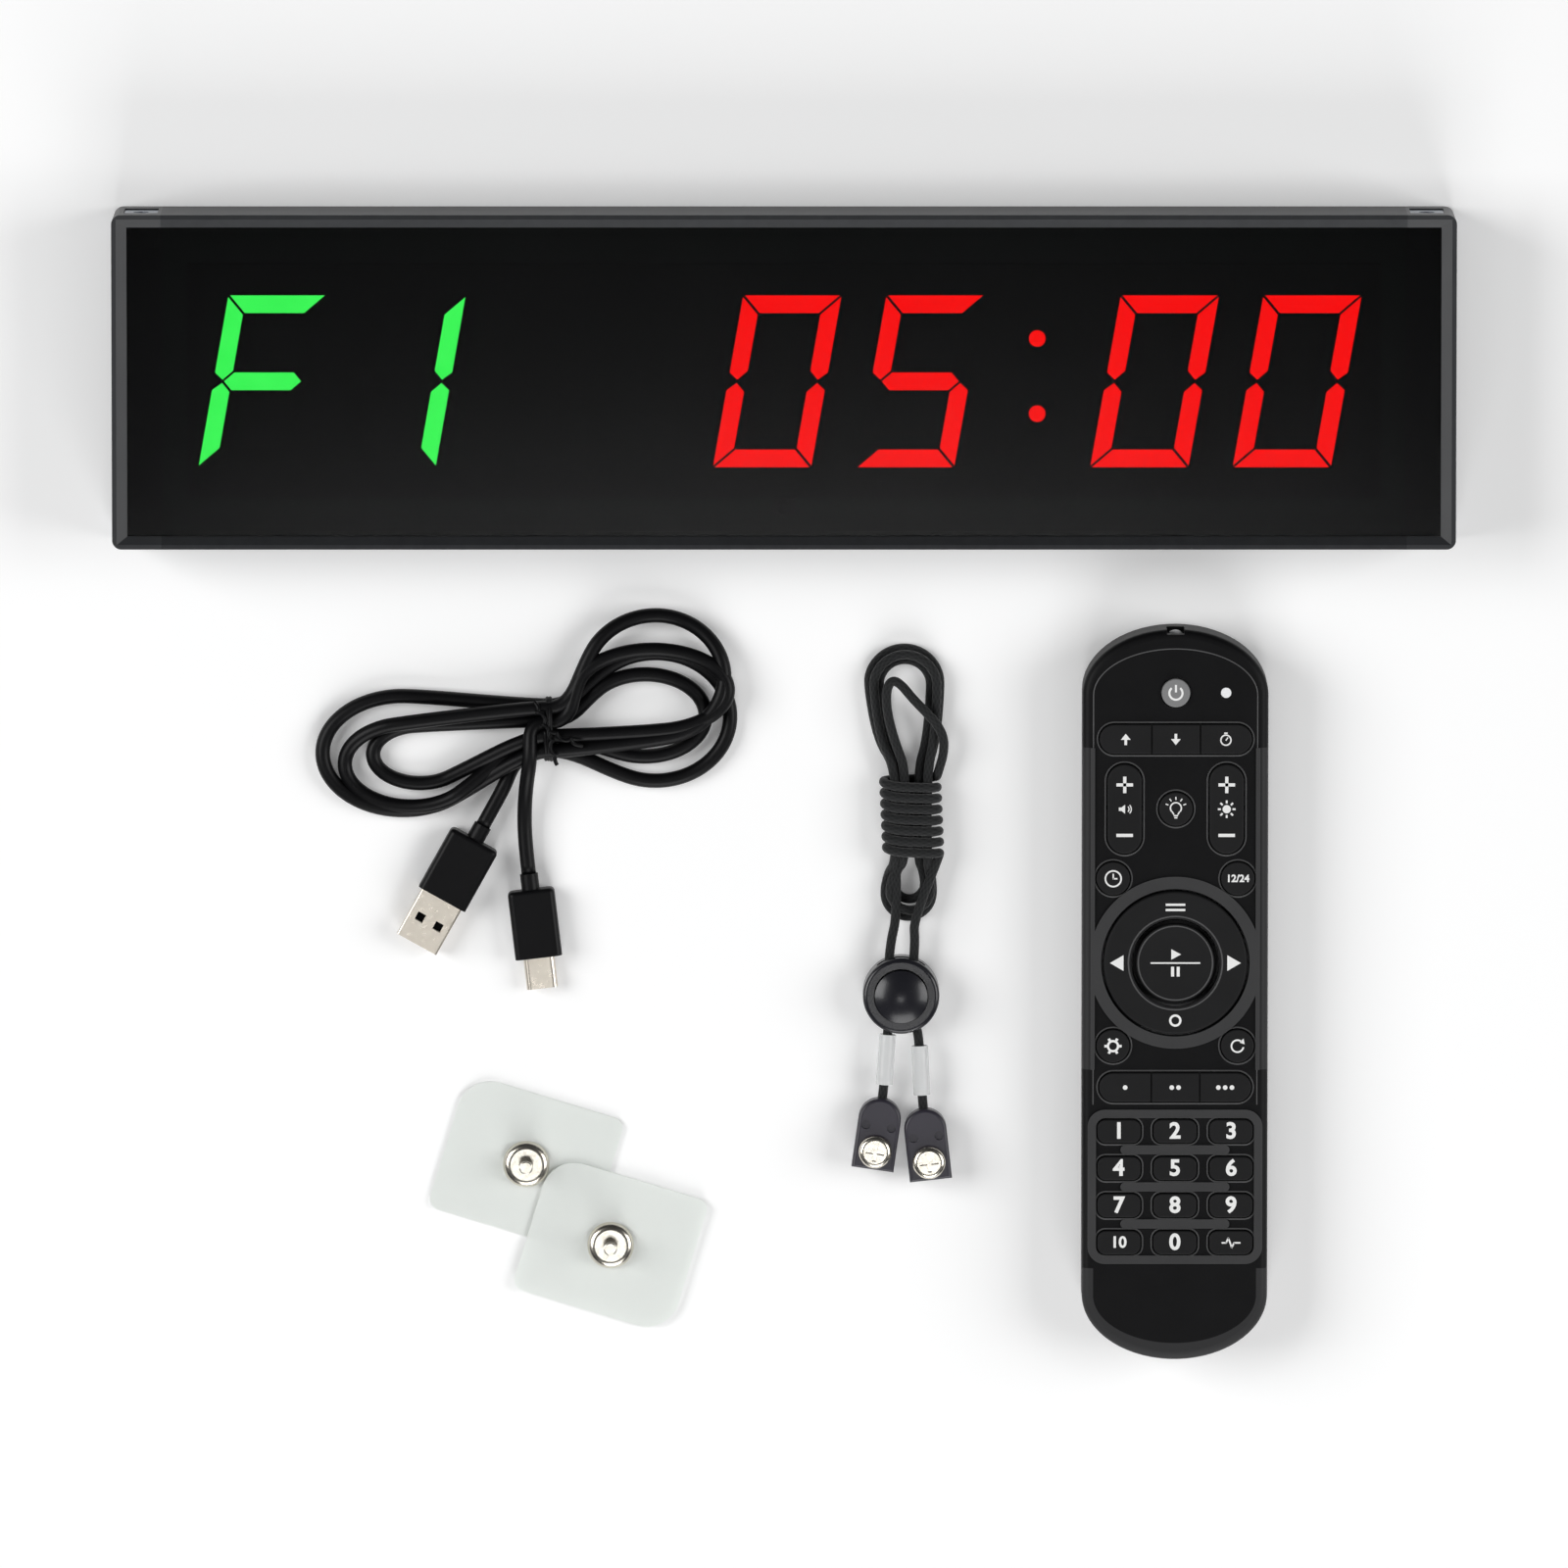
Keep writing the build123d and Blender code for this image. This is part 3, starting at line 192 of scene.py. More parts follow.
def makeCamera():
    data = bpy.data.cameras.new("camera")
    data.lens = camera["lens"]
    data.sensor_width = camera["sensor"]
    data.clip_end = camera["farClip"]
    eye = bpy.data.objects.new("camera", data)
    lean = math.radians(camera["lean"])
    target = Vector(camera["lookAt"])
    eye.location = target + Vector((0, math.sin(lean), math.cos(lean))) * camera["distance"]
    eye.rotation_euler = (-lean, 0, 0)
    bpy.context.scene.collection.objects.link(eye)
    bpy.context.scene.camera = eye


# lights: broad soft boxes round the table, each with its place, width and power, under a dim sky
lights = {
    "sky": 0.035,
    "skyColour": (0.93, 0.96, 1.0, 1),
    "boxes": (
        ("keyLight", (-1.7, 0.35, 1.5), 1.4, 33),
        ("fillLight", (1.9, 0.1, 1.4), 1.4, 28),
        ("frontLight", (0.2, -2.1, 1.2), 1.6, 31),
        ("stripLight", (0.0, -0.56, 3.0), 0.5, 3.2),
    ),
}


def makeLights():
    world = bpy.data.worlds.new("studio")
    bpy.context.scene.world = world
    world.use_nodes = True
    sky = world.node_tree.nodes["Background"]
    sky.inputs["Color"].default_value = lights["skyColour"]
    sky.inputs["Strength"].default_value = lights["sky"]
    for name, place, size, power in lights["boxes"]:
        data = bpy.data.lights.new(name, "AREA")
        data.size = size
        data.energy = power
        lamp = bpy.data.objects.new(name, data)
        lamp.location = place
        lamp.rotation_euler = (Vector((0, 0, 0)) - Vector(place)).to_track_quat("-Z", "Y").to_euler()
        bpy.context.scene.collection.objects.link(lamp)


# table: a wide white sheet just under everything, bright enough to read as plain white
table = {
    "half": 4.0,
    "drop": 0.0002,
    "colour": (0.93, 0.93, 0.93, 1),
    "roughness": 0.8,
    "specular": 0.2,
    "glow": 0.12,
}


def makeFloor():
    mesh = bpy.data.meshes.new("floor")
    half = table["half"]
    corners = [(-half, -half, 0), (half, -half, 0), (half, half, 0), (-half, half, 0)]
    mesh.from_pydata(corners, [], [(0, 1, 2, 3)])
    floor = bpy.data.objects.new("floor", mesh)
    floor.location.z = -table["drop"]
    bpy.context.scene.collection.objects.link(floor)
    paint = bpy.data.materials.new("floorPaint")
    paint.use_nodes = True
    surface = paint.node_tree.nodes["Principled BSDF"]
    surface.inputs["Base Color"].default_value = table["colour"]
    surface.inputs["Roughness"].default_value = table["roughness"]
    surface.inputs["Specular IOR Level"].default_value = table["specular"]
    surface.inputs["Emission Color"].default_value = (1, 1, 1, 1)
    surface.inputs["Emission Strength"].default_value = table["glow"]
    mesh.materials.append(paint)
    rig.stage(floor)


bpy.context.scene.view_settings.view_transform = "Standard"
makeCamera()
makeLights()
makeFloor()
print("camera, lights and floor placed")


# every cord and wire follows one smooth line through its points
smoothLine = {"order": 3, "steps": 6}


def routeCurve(name, points):
    data = bpy.data.curves.new(name, "CURVE")
    data.dimensions = "3D"
    spline = data.splines.new("NURBS")
    spline.points.add(len(points) - 1)
    for control, point in zip(spline.points, inMetres(points)):
        control.co = (*point, 1)
    spline.order_u = smoothLine["order"]
    spline.use_endpoint_u = True
    spline.resolution_u = smoothLine["steps"]
    line = bpy.data.objects.new(name, data)
    bpy.context.scene.collection.objects.link(line)
    return line


def pathOf(line):
    mesh = bpy.data.meshes.new_from_object(line)
    path = [vertex.co.copy() for vertex in mesh.vertices]
    bpy.data.meshes.remove(mesh)
    return path


def sweepTube(name, path, radius, sides):
    # a closed tube along a path, turned as little as possible from ring to ring, with its length in U
    mesh = bpy.data.meshes.new(name)
    build = bmesh.new()
    mapping = build.loops.layers.uv.new("UVMap")
    side = None
    rings = []
    lengths = [0.0]
    for index, point in enumerate(path):
        before = path[max(index - 1, 0)]
        after = path[min(index + 1, len(path) - 1)]
        ahead = (after - before).normalized()
        if side is None:
            side = ahead.orthogonal().normalized()
        side = (side - ahead * side.dot(ahead)).normalized()
        other = ahead.cross(side)
        if index:
            lengths.append(lengths[-1] + (point - before).length)
        ring = []
        for step in range(sides):
            angle = 2 * math.pi * step / sides
            reach = side * math.cos(angle) + other * math.sin(angle)
            ring.append(build.verts.new(point + reach * radius))
        rings.append(ring)
    for index in range(len(rings) - 1):
        for step in range(sides):
            nextStep = (step + 1) % sides
            face = build.faces.new((
                rings[index][step], rings[index][nextStep],
                rings[index + 1][nextStep], rings[index + 1][step],
            ))
            face.smooth = True
            spots = ((index, step), (index, step + 1), (index + 1, step + 1), (index + 1, step))
            for corner, (ring, turn) in zip(face.loops, spots):
                corner[mapping].uv = (lengths[ring], turn / sides)
    build.faces.new(reversed(rings[0]))
    build.faces.new(rings[-1])
    build.to_mesh(mesh)
    build.free()
    piece = bpy.data.objects.new(name, mesh)
    bpy.context.scene.collection.objects.link(piece)
    return piece


def tubeAlong(name, points, radius, sides):
    line = routeCurve(name + "_line", points)
    path = pathOf(line)
    bpy.data.objects.remove(line)
    # the piece itself, and the middle line that it follows
    return sweepTube(name, path, radius * mm, sides), path


# charging cable: wound flat in one hank, tied at its waist, with a plug at each end
cable = {
    "radius": 1.95,
    "length": 0.90,
    "waistLeft": -67.6,
    "waistRight": -57.6,
    "lobePoints": 13,
    "nearestLead": 1.05,
    "sides": 22,
}

cableLeadA = [
    (-80.2, -11.7, 3.75), (-77.3, -6.5, 3.5), (-74.3, -1.0, 2.9), (-72.3, 4.3, 2.6),
]
cableLeadC = [
    (-67.5, 6.9, 9.4), (-68.8, -2.0, 5.2), (-69.2, -9.8, 3.6), (-68.85, -17.5, 3.25),
    (-68.0, -24.7, 3.25),
]

# each loop: centre, radii, and its height near the waist, at its far side and at its top
rightLoops = [
    {"centre": (-34.2, 17.2), "radii": (20.2, 17.4), "waist": 2.9, "far": 2.1, "top": 2.1},
    {"centre": (-34.4, 28.2), "radii": (18.8, 16.6), "waist": 7.1, "far": 6.2, "top": 2.6},
    {"centre": (-37.0, 17.6), "radii": (16.4, 11.2), "waist": 3.1, "far": 2.1, "top": 2.1},
    {"centre": (-35.0, 24.8), "radii": (20.4, 11.0), "waist": 7.3, "far": 6.3, "top": 6.3},
]
leftLoops = [
    {"centre": (-101.5, 7.5), "radii": (21.7, 15.5), "waist": 2.9, "far": 2.1, "top": 2.1},
    {"centre": (-99.6, 4.6), "radii": (17.6, 11.4), "waist": 7.1, "far": 2.4, "top": 6.2},
    {"centre": (-97.0, 7.2), "radii": (12.6, 7.8), "waist": 3.4, "far": 2.3, "top": 2.3},
]
lowerSlots = [(8.4, 2.95), (8.6, 7.1), (12.3, 2.95), (12.6, 7.1)]
upperSlots = [(20.3, 2.95), (20.1, 7.1), (16.4, 2.95), (16.3, 7.1)]


def tangentAngle(loop, side, waist, way):
    # how far round its ellipse the loop runs before a straight run leads it to the waist
    x = side * (waist[0] - loop["centre"][0]) / loop["radii"][0]
    y = way * (waist[1] - loop["centre"][1]) / loop["radii"][1]
    away = math.atan2(y, x) % (2 * math.pi)
    return away - math.acos(1 / max(math.hypot(x, y), cable["nearestLead"]))


def lobeTurn(loop, side, count, low, high):
    # points round one loop, from the low side of the waist to the high side
    start = -tangentAngle(loop, side, low, -1)
    finish = tangentAngle(loop, side, high, 1)
    turn = []
    for step in range(count):
        share = step / (count - 1)
        angle = start + (finish - start) * share
        across = math.cos(angle)
        along = math.sin(angle)
        near = (1 - across) / 2
        upper = max(along, 0) ** 2
        flat = loop["far"] * (1 - upper) + loop["top"] * upper
        height = flat * (1 - near ** 2) + loop["waist"] * near ** 2
        turn.append((
            loop["centre"][0] + side * loop["radii"][0] * across,
            loop["centre"][1] + loop["radii"][1] * along,
            height,
        ))
    return turn


def cableRoute():
    points = list(cableLeadA)
    for index, loop in enumerate(rightLoops):
        low = lowerSlots[index]
        high = upperSlots[index]
        points.append((cable["waistLeft"], *low))
        points.append((cable["waistRight"], *low))
        lowHere = (cable["waistRight"], low[0])
        highHere = (cable["waistRight"], high[0])
        points += lobeTurn(loop, 1, cable["lobePoints"], lowHere, highHere)
        points.append((cable["waistRight"], *high))
        points.append((cable["waistLeft"], *high))
        if index < len(leftLoops):
            lowNext = (cable["waistLeft"], lowerSlots[index + 1][0])
            highHere = (cable["waistLeft"], high[0])
            turn = lobeTurn(leftLoops[index], -1, cable["lobePoints"], lowNext, highHere)
            points += reversed(turn)
    return points + cableLeadC


def makeCable():
    piece, path = tubeAlong("charging_cable", cableRoute(), cable["radius"], cable["sides"])
    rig.ride(piece, "root")
    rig.replaces(piece, "cable_lead_a", "cable_lead_c", "cable_hank")
    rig.slot(piece, "cable_rubber")
    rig.cord(
        piece, exit=inMetres(cableLeadA)[0], length=cable["length"], diameter=2 * cable["radius"] * mm,
        far_end="connector", stiffness="medium", lay="coiled", path=path,
        with_pieces=["usb_c_boot", "usb_c_shell"],
    )
    return piece


cablePiece = makeCable()
print("charging cable wound")

# hanging rope: long turns, seven wraps round their middle, and both ends through the lock
rope = {
    "radius": 1.25,
    "length": 0.95,
    "wraps": 7,
    "wrapTop": 1.6,
    "wrapBottom": -18.9,
    "wrapCentre": (34.0, 4.85),
    "wrapReach": (7.2, 3.5),
    "wrapPoints": 14,
    "wrapDrift": 0.9,
    "wrapBow": 0.45,
    "wrapRound": (0.62, 0.75),
    "wrapMargin": 2.2,
    "upperPoints": 9,
    "lowerPoints": 7,
    "mouthShare": 0.65,
    "mouthReach": 0.22,
    "sides": 16,
}
ropeLeftLead = [
    (25.5, -90.2, 6.2), (26.6, -82.6, 6.2), (27.75, -66.0, 6.2), (27.95, -56.0, 6.2),
    (27.9, -48.0, 6.2), (28.6, -42.0, 5.6), (29.9, -36.6, 4.8),
]
ropeRightLead = [
    (34.5, -37.0, 7.6), (34.9, -42.0, 6.6), (34.5, -48.5, 6.2), (34.45, -56.5, 6.2),
    (34.8, -63.5, 6.2), (36.1, -69.0, 6.2), (36.85, -85.4, 6.2), (37.7, -93.0, 6.2),
]
# each turn of the rope: its centre, half width, far end and height
upperTurns = [
    {"centre": 32.0, "half": 9.7, "end": 35.7, "height": 1.4},
    {"centre": 32.3, "half": 8.6, "end": 34.2, "height": 3.95},
    {"centre": 32.2, "half": 7.0, "end": 32.6, "height": 1.4},
]
# the last upper turn falls slack across the loop and bulges past it before the wraps
ropeLooseTurn = [
    (30.2, 9.0, 6.4), (28.2, 15.5, 6.5), (27.2, 21.0, 6.5), (27.4, 25.6, 6.5),
    (29.0, 27.6, 6.6), (31.3, 26.2, 6.7), (34.2, 22.6, 6.8), (37.8, 18.9, 6.7),
    (41.0, 15.4, 6.3), (42.7, 11.4, 5.7), (42.4, 7.2, 5.2), (41.5, 4.2, 5.0),
]
lowerTurns = [
    {"centre": 33.2, "half": 6.5, "end": -36.6, "height": 1.4},
    {"centre": 33.6, "half": 5.6, "end": -34.6, "height": 4.0},
    {"centre": 33.4, "half": 4.2, "end": -31.8, "height": 1.5},
]
risingSlots = [(29.9, 3.8), (29.9, 5.95), (32.3, 3.8), (32.3, 5.95)]
fallingSlots = [(38.1, 3.8), (38.1, 5.95), (35.7, 3.8)]


def mouth(turn, slot, inner, reach):
    # where a turn narrows towards its slot in the wraps
    share = rope["mouthShare"]
    across = slot[0] * (1 - share) + (turn["centre"] + slot[2] * turn["half"]) * share
    return across, inner + reach * rope["mouthReach"], turn["height"]


def bend(turn, start, finish, inner, steps):
    # out from one slot, round the end of the loop and back to the next slot
    reach = turn["end"] - inner
    way = 1 if reach > 0 else -1
    shoulder = turn["end"] - way * turn["half"]
    points = [mouth(turn, start, inner, reach)]
    for step in range(steps):
        angle = math.pi * step / (steps - 1)
        points.append((
            turn["centre"] + start[2] * turn["half"] * math.cos(angle),
            shoulder + way * turn["half"] * math.sin(angle),
            turn["height"],
        ))
    points.append(mouth(turn, finish, inner, reach))
    return points


def wrapTurns():
    points = []
    count = rope["wraps"] * rope["wrapPoints"]
    for step in range(count + 1):
        angle = 2 * math.pi * step / rope["wrapPoints"]
        drop = (rope["wrapTop"] - rope["wrapBottom"]) * step / count
        across = math.cos(angle)
        rise = math.sin(angle)
        wide = math.copysign(abs(across) ** rope["wrapRound"][0], across)
        deep = math.copysign(abs(rise) ** rope["wrapRound"][1], rise)
        drift = rope["wrapDrift"] * (step / count - 0.5)
        points.append((
            rope["wrapCentre"][0] + rope["wrapReach"][0] * wide + drift,
            rope["wrapTop"] - drop - rope["wrapBow"] * (1 - across ** 2),
            rope["wrapCentre"][1] - rope["wrapReach"][1] * deep,
        ))
    return points


def ropeRoute():
    above = rope["wrapTop"] + rope["wrapMargin"]
    below = rope["wrapBottom"] - rope["wrapMargin"]
    points = list(ropeLeftLead)
    for index, (slotX, slotZ) in enumerate(risingSlots):
        points.append((slotX, below, slotZ))
        points.append((slotX, above, slotZ))
        if index < len(lowerTurns):
            rising = (slotX, slotZ, -1)
            falling = (*fallingSlots[index], 1)
            following = (*risingSlots[index + 1], -1)
            points += bend(upperTurns[index], rising, falling, above, rope["upperPoints"])
            points.append((falling[0], above, falling[1]))
            points.append((falling[0], below, falling[1]))
            points += bend(lowerTurns[index], falling, following, below, rope["lowerPoints"])
        else:
            points += ropeLooseTurn
    return points + wrapTurns() + ropeRightLead


def makeRope():
    piece, path = tubeAlong("hanging_rope", ropeRoute(), rope["radius"], rope["sides"])
    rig.ride(piece, "root")
    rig.replaces(piece, "rope_leads", "rope_hank")
    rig.slot(piece, "rope_braid")
    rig.cord(
        piece, exit=inMetres(ropeLeftLead)[0], length=rope["length"], diameter=2 * rope["radius"] * mm,
        far_end="fitting", stiffness="limp", lay="coiled", path=path,
        with_pieces=["rope_sleeves", "rope_end_tabs", "rope_end_screws"],
    )
    return piece


ropePiece = makeRope()
print("hanging rope wound")


# what shapes the patterns that the finishes share
patterns = {
    "scuffFloor": 0.62,
    "scuffGain": 7.0,
    "tarnishScale": 260.0,
    "edgeGain": 5.0,
    "yarnDepth": 0.35,
}


def newGroup(name, inputs, outputs):
    group = bpy.data.node_groups.new(name, "ShaderNodeTree")
    for label, kind, value in inputs:
        socket = group.interface.new_socket(name=label, in_out="INPUT", socket_type="NodeSocket" + kind)
        if value is not None:
            socket.default_value = value
    for label, kind in outputs:
        group.interface.new_socket(name=label, in_out="OUTPUT", socket_type="NodeSocket" + kind)
    return group, group.nodes.new("NodeGroupInput"), group.nodes.new("NodeGroupOutput")


def node(tree, kind, **settings):
    made = tree.nodes.new("ShaderNode" + kind)
    for key, value in settings.items():
        if key in made.inputs:
            made.inputs[key].default_value = value
        else:
            setattr(made, key, value)
    return made


def maths(tree, operation, first, second=None, clamp=False):
    made = tree.nodes.new("ShaderNodeMath")
    made.operation = operation
    made.use_clamp = clamp
    for index, value in enumerate((first, second)):
        if value is None:
            continue
        if isinstance(value, (int, float)):
            made.inputs[index].default_value = value
        else:
            tree.links.new(value, made.inputs[index])
    return made.outputs[0]


def makeGrainGroup():
    # moulded or cast surface: fine grain height, a slow stain and a few scuffs
    group, given, result = newGroup(
        "surfaceGrain",
        [("Scale", "Float", 3000.0), ("Stain Scale", "Float", 40.0), ("Scuff Scale", "Float", 120.0)],
        [("Height", "Float"), ("Stain", "Float"), ("Scuffs", "Float")],
    )
    place = node(group, "TexCoord")
    grain = node(group, "TexNoise", Detail=3.0, Roughness=0.6)
    stain = node(group, "TexNoise", Detail=4.0, Roughness=0.65)
    scuffs = node(group, "TexNoise", Detail=8.0, Roughness=0.75, Distortion=1.2)
    for made, socket in ((grain, "Scale"), (stain, "Stain Scale"), (scuffs, "Scuff Scale")):
        group.links.new(place.outputs["Object"], made.inputs["Vector"])
        group.links.new(given.outputs[socket], made.inputs["Scale"])
    thin = maths(group, "SUBTRACT", scuffs.outputs["Fac"], patterns["scuffFloor"])
    thin = maths(group, "MULTIPLY", thin, patterns["scuffGain"], clamp=True)
    group.links.new(grain.outputs["Fac"], result.inputs["Height"])
    group.links.new(stain.outputs["Fac"], result.inputs["Stain"])
    group.links.new(thin, result.inputs["Scuffs"])
    return group


def makeBrushGroup():
    # drawn or turned metal: fine lines that run along the stretch axis
    group, given, result = newGroup(
        "brushLines",
        [("Stretch", "Vector", (4000.0, 60.0, 4000.0)), ("Fine", "Float", 1.0)],
        [("Height", "Float"), ("Tarnish", "Float")],
    )
    place = node(group, "TexCoord")
    stretched = node(group, "VectorMath", operation="MULTIPLY")
    group.links.new(place.outputs["Object"], stretched.inputs[0])
    group.links.new(given.outputs["Stretch"], stretched.inputs[1])
    lines = node(group, "TexNoise", Detail=4.0, Roughness=0.7)
    group.links.new(stretched.outputs[0], lines.inputs["Vector"])
    group.links.new(given.outputs["Fine"], lines.inputs["Scale"])
    tarnish = node(group, "TexNoise", Scale=patterns["tarnishScale"], Detail=6.0, Roughness=0.7)
    group.links.new(place.outputs["Object"], tarnish.inputs["Vector"])
    group.links.new(lines.outputs["Fac"], result.inputs["Height"])
    group.links.new(tarnish.outputs["Fac"], result.inputs["Tarnish"])
    return group


def makeWearGroup():
    # edge wear: the mask rises where the rounded normal leaves the true one
    group, given, result = newGroup(
        "edgeWear", [("Width", "Float", 0.0003), ("Breakup", "Float", 500.0)], [("Edge", "Float")],
    )
    place = node(group, "TexCoord")
    rounded = node(group, "Bevel", samples=4)
    group.links.new(given.outputs["Width"], rounded.inputs["Radius"])
    true = node(group, "NewGeometry")
    match = node(group, "VectorMath", operation="DOT_PRODUCT")
    group.links.new(rounded.outputs["Normal"], match.inputs[0])
    group.links.new(true.outputs["Normal"], match.inputs[1])
    edge = maths(group, "SUBTRACT", 1.0, match.outputs["Value"])
    edge = maths(group, "MULTIPLY", edge, patterns["edgeGain"], clamp=True)
    broken = node(group, "TexNoise", Detail=5.0, Roughness=0.7)
    group.links.new(place.outputs["Object"], broken.inputs["Vector"])
    group.links.new(given.outputs["Breakup"], broken.inputs["Scale"])
    edge = maths(group, "MULTIPLY", edge, broken.outputs["Fac"])
    group.links.new(edge, result.inputs["Edge"])
    return group


def makeBraidGroup():
    # crossing bundles of yarn round a cord, from its length in U and its turn in V
    group, given, result = newGroup(
        "braidedSleeve",
        [("Bundles", "Float", 8.0), ("Pitch", "Float", 900.0), ("Yarns", "Float", 5.0)],
        [("Height", "Float"), ("Shade", "Float")],
    )
    place = node(group, "TexCoord")
    split = node(group, "SeparateXYZ")
    group.links.new(place.outputs["UV"], split.inputs[0])
    along = maths(group, "MULTIPLY", split.outputs["X"], given.outputs["Pitch"])
    around = maths(group, "MULTIPLY", split.outputs["Y"], given.outputs["Bundles"])
    ridges = []
    for sign in ("ADD", "SUBTRACT"):
        turn = maths(group, sign, around, along)
        wave = maths(group, "PINGPONG", turn, 0.5)
        wave = maths(group, "MULTIPLY", wave, 2.0)
        yarn = maths(group, "MULTIPLY", turn, given.outputs["Yarns"])
        yarn = maths(group, "PINGPONG", yarn, 0.5)
        wave = maths(group, "ADD", wave, maths(group, "MULTIPLY", yarn, patterns["yarnDepth"]))
        ridges.append(wave)
    height = maths(group, "MAXIMUM", ridges[0], ridges[1])
    shade = maths(group, "MINIMUM", ridges[0], ridges[1])
    group.links.new(height, result.inputs["Height"])
    group.links.new(shade, result.inputs["Shade"])
    return group


groups = {
    "grain": makeGrainGroup(),
    "brush": makeBrushGroup(),
    "wear": makeWearGroup(),
    "braid": makeBraidGroup(),
}


def startMaterial(name):
    made = bpy.data.materials.new(name)
    made.use_nodes = True
    tree = made.node_tree
    return made, tree, tree.nodes["Principled BSDF"]


def placeGroup(tree, key, **values):
    made = tree.nodes.new("ShaderNodeGroup")
    made.node_tree = groups[key]
    for label, value in values.items():
        made.inputs[label.replace("_", " ")].default_value = value
    return made


def blendColour(tree, mask, first, second):
    return blendSockets(tree, mask, firstColour=first, secondColour=second)


def blendSockets(tree, mask, first=None, firstColour=(0, 0, 0), second=None, secondColour=(0, 0, 0)):
    # a colour mix whose ends are sockets or, where none is given, plain colours
    made = tree.nodes.new("ShaderNodeMix")
    made.data_type = "RGBA"
    for name, socket, colour in (("A", first, firstColour), ("B", second, secondColour)):
        if socket is None:
            made.inputs[name].default_value = (*colour, 1)
        else:
            tree.links.new(socket, made.inputs[name])
    tree.links.new(mask, made.inputs["Factor"])
    return made.outputs["Result"]


def spread(tree, mask, low, high):
    made = tree.nodes.new("ShaderNodeMapRange")
    made.inputs["To Min"].default_value = low
    made.inputs["To Max"].default_value = high
    tree.links.new(mask, made.inputs["Value"])
    return made.outputs["Result"]


def bump(tree, surface, height, strength, distance):
    made = tree.nodes.new("ShaderNodeBump")
    made.inputs["Strength"].default_value = strength
    made.inputs["Distance"].default_value = distance
    tree.links.new(height, made.inputs["Height"])
    tree.links.new(made.outputs["Normal"], surface.inputs["Normal"])


def scuffedRoughness(tree, mask, scuffs, limits, depth):
    low, high = limits
    return maths(tree, "ADD", spread(tree, mask, low, high), maths(tree, "MULTIPLY", scuffs, depth))


# what moulded finishes have unless their own look says otherwise
moulded = {
    "stain": 60.0,
    "scuff": 150.0,
    "edge": 0.0003,
    "breakup": 600.0,
    "vary": 1.5,
    "wear": 0.02,
    "wornGain": 1.8,
    "scuffDepth": 0.12,
    "specular": 0.4,
    "coat": 0.0,
    "coatRough": 0.12,
    "bump": 0.25,
    "depth": 0.00005,
}


def mouldedFinish(name, ownLook):
    # moulded plastic or rubber: grain, slow stain, scuffs and paler worn edges
    look = {**moulded, **ownLook}
    made, tree, surface = startMaterial(name)
    grain = placeGroup(
        tree, "grain", Scale=look["grain"], Stain_Scale=look["stain"], Scuff_Scale=look["scuff"])
    wear = placeGroup(tree, "wear", Width=look["edge"], Breakup=look["breakup"])
    dark = look["colour"]
    pale = tuple(min(value * look["vary"] + 0.002, 1) for value in dark)
    worn = tuple(min(value * look["wornGain"] + look["wear"], 1) for value in dark)
    base = blendColour(tree, grain.outputs["Stain"], dark, pale)
    edged = blendSockets(tree, wear.outputs["Edge"], first=base, secondColour=worn)
    tree.links.new(edged, surface.inputs["Base Color"])
    rough = scuffedRoughness(
        tree, grain.outputs["Stain"], grain.outputs["Scuffs"], look["rough"], look["scuffDepth"])
    tree.links.new(rough, surface.inputs["Roughness"])
    surface.inputs["Specular IOR Level"].default_value = look["specular"]
    surface.inputs["Coat Weight"].default_value = look["coat"]
    surface.inputs["Coat Roughness"].default_value = look["coatRough"]
    bump(tree, surface, grain.outputs["Height"], look["bump"], look["depth"])
    return made


# what metal finishes have unless their own look says otherwise
metal = {
    "grain": (5000.0, 90.0, 400.0),
    "scuffDepth": 0.08,
    "metallic": 1.0,
    "specular": 0.5,
    "bump": 0.08,
    "depth": 0.00001,
}


def metalFinish(name, ownLook):
    look = {**metal, **ownLook}
    made, tree, surface = startMaterial(name)
    brush = placeGroup(tree, "brush", Stretch=look["stretch"])
    fine, slow, worn = look["grain"]
    grain = placeGroup(tree, "grain", Scale=fine, Stain_Scale=slow, Scuff_Scale=worn)
    tint = blendColour(tree, brush.outputs["Tarnish"], look["colour"], look["tarnish"])
    tree.links.new(tint, surface.inputs["Base Color"])
    rough = scuffedRoughness(
        tree, brush.outputs["Height"], grain.outputs["Scuffs"], look["rough"], look["scuffDepth"])
    tree.links.new(rough, surface.inputs["Roughness"])
    surface.inputs["Metallic"].default_value = look["metallic"]
    surface.inputs["Specular IOR Level"].default_value = look["specular"]
    bump(tree, surface, brush.outputs["Height"], look["bump"], look["depth"])
    return made


# what the lit diffusers share besides their colours
glowing = {
    "grain": (1500.0, 220.0, 400.0),
    "upright": 0.7,
    "strength": 9.0,
    "rough": 0.35,
    "bump": 0.1,
    "depth": 0.00002,
}


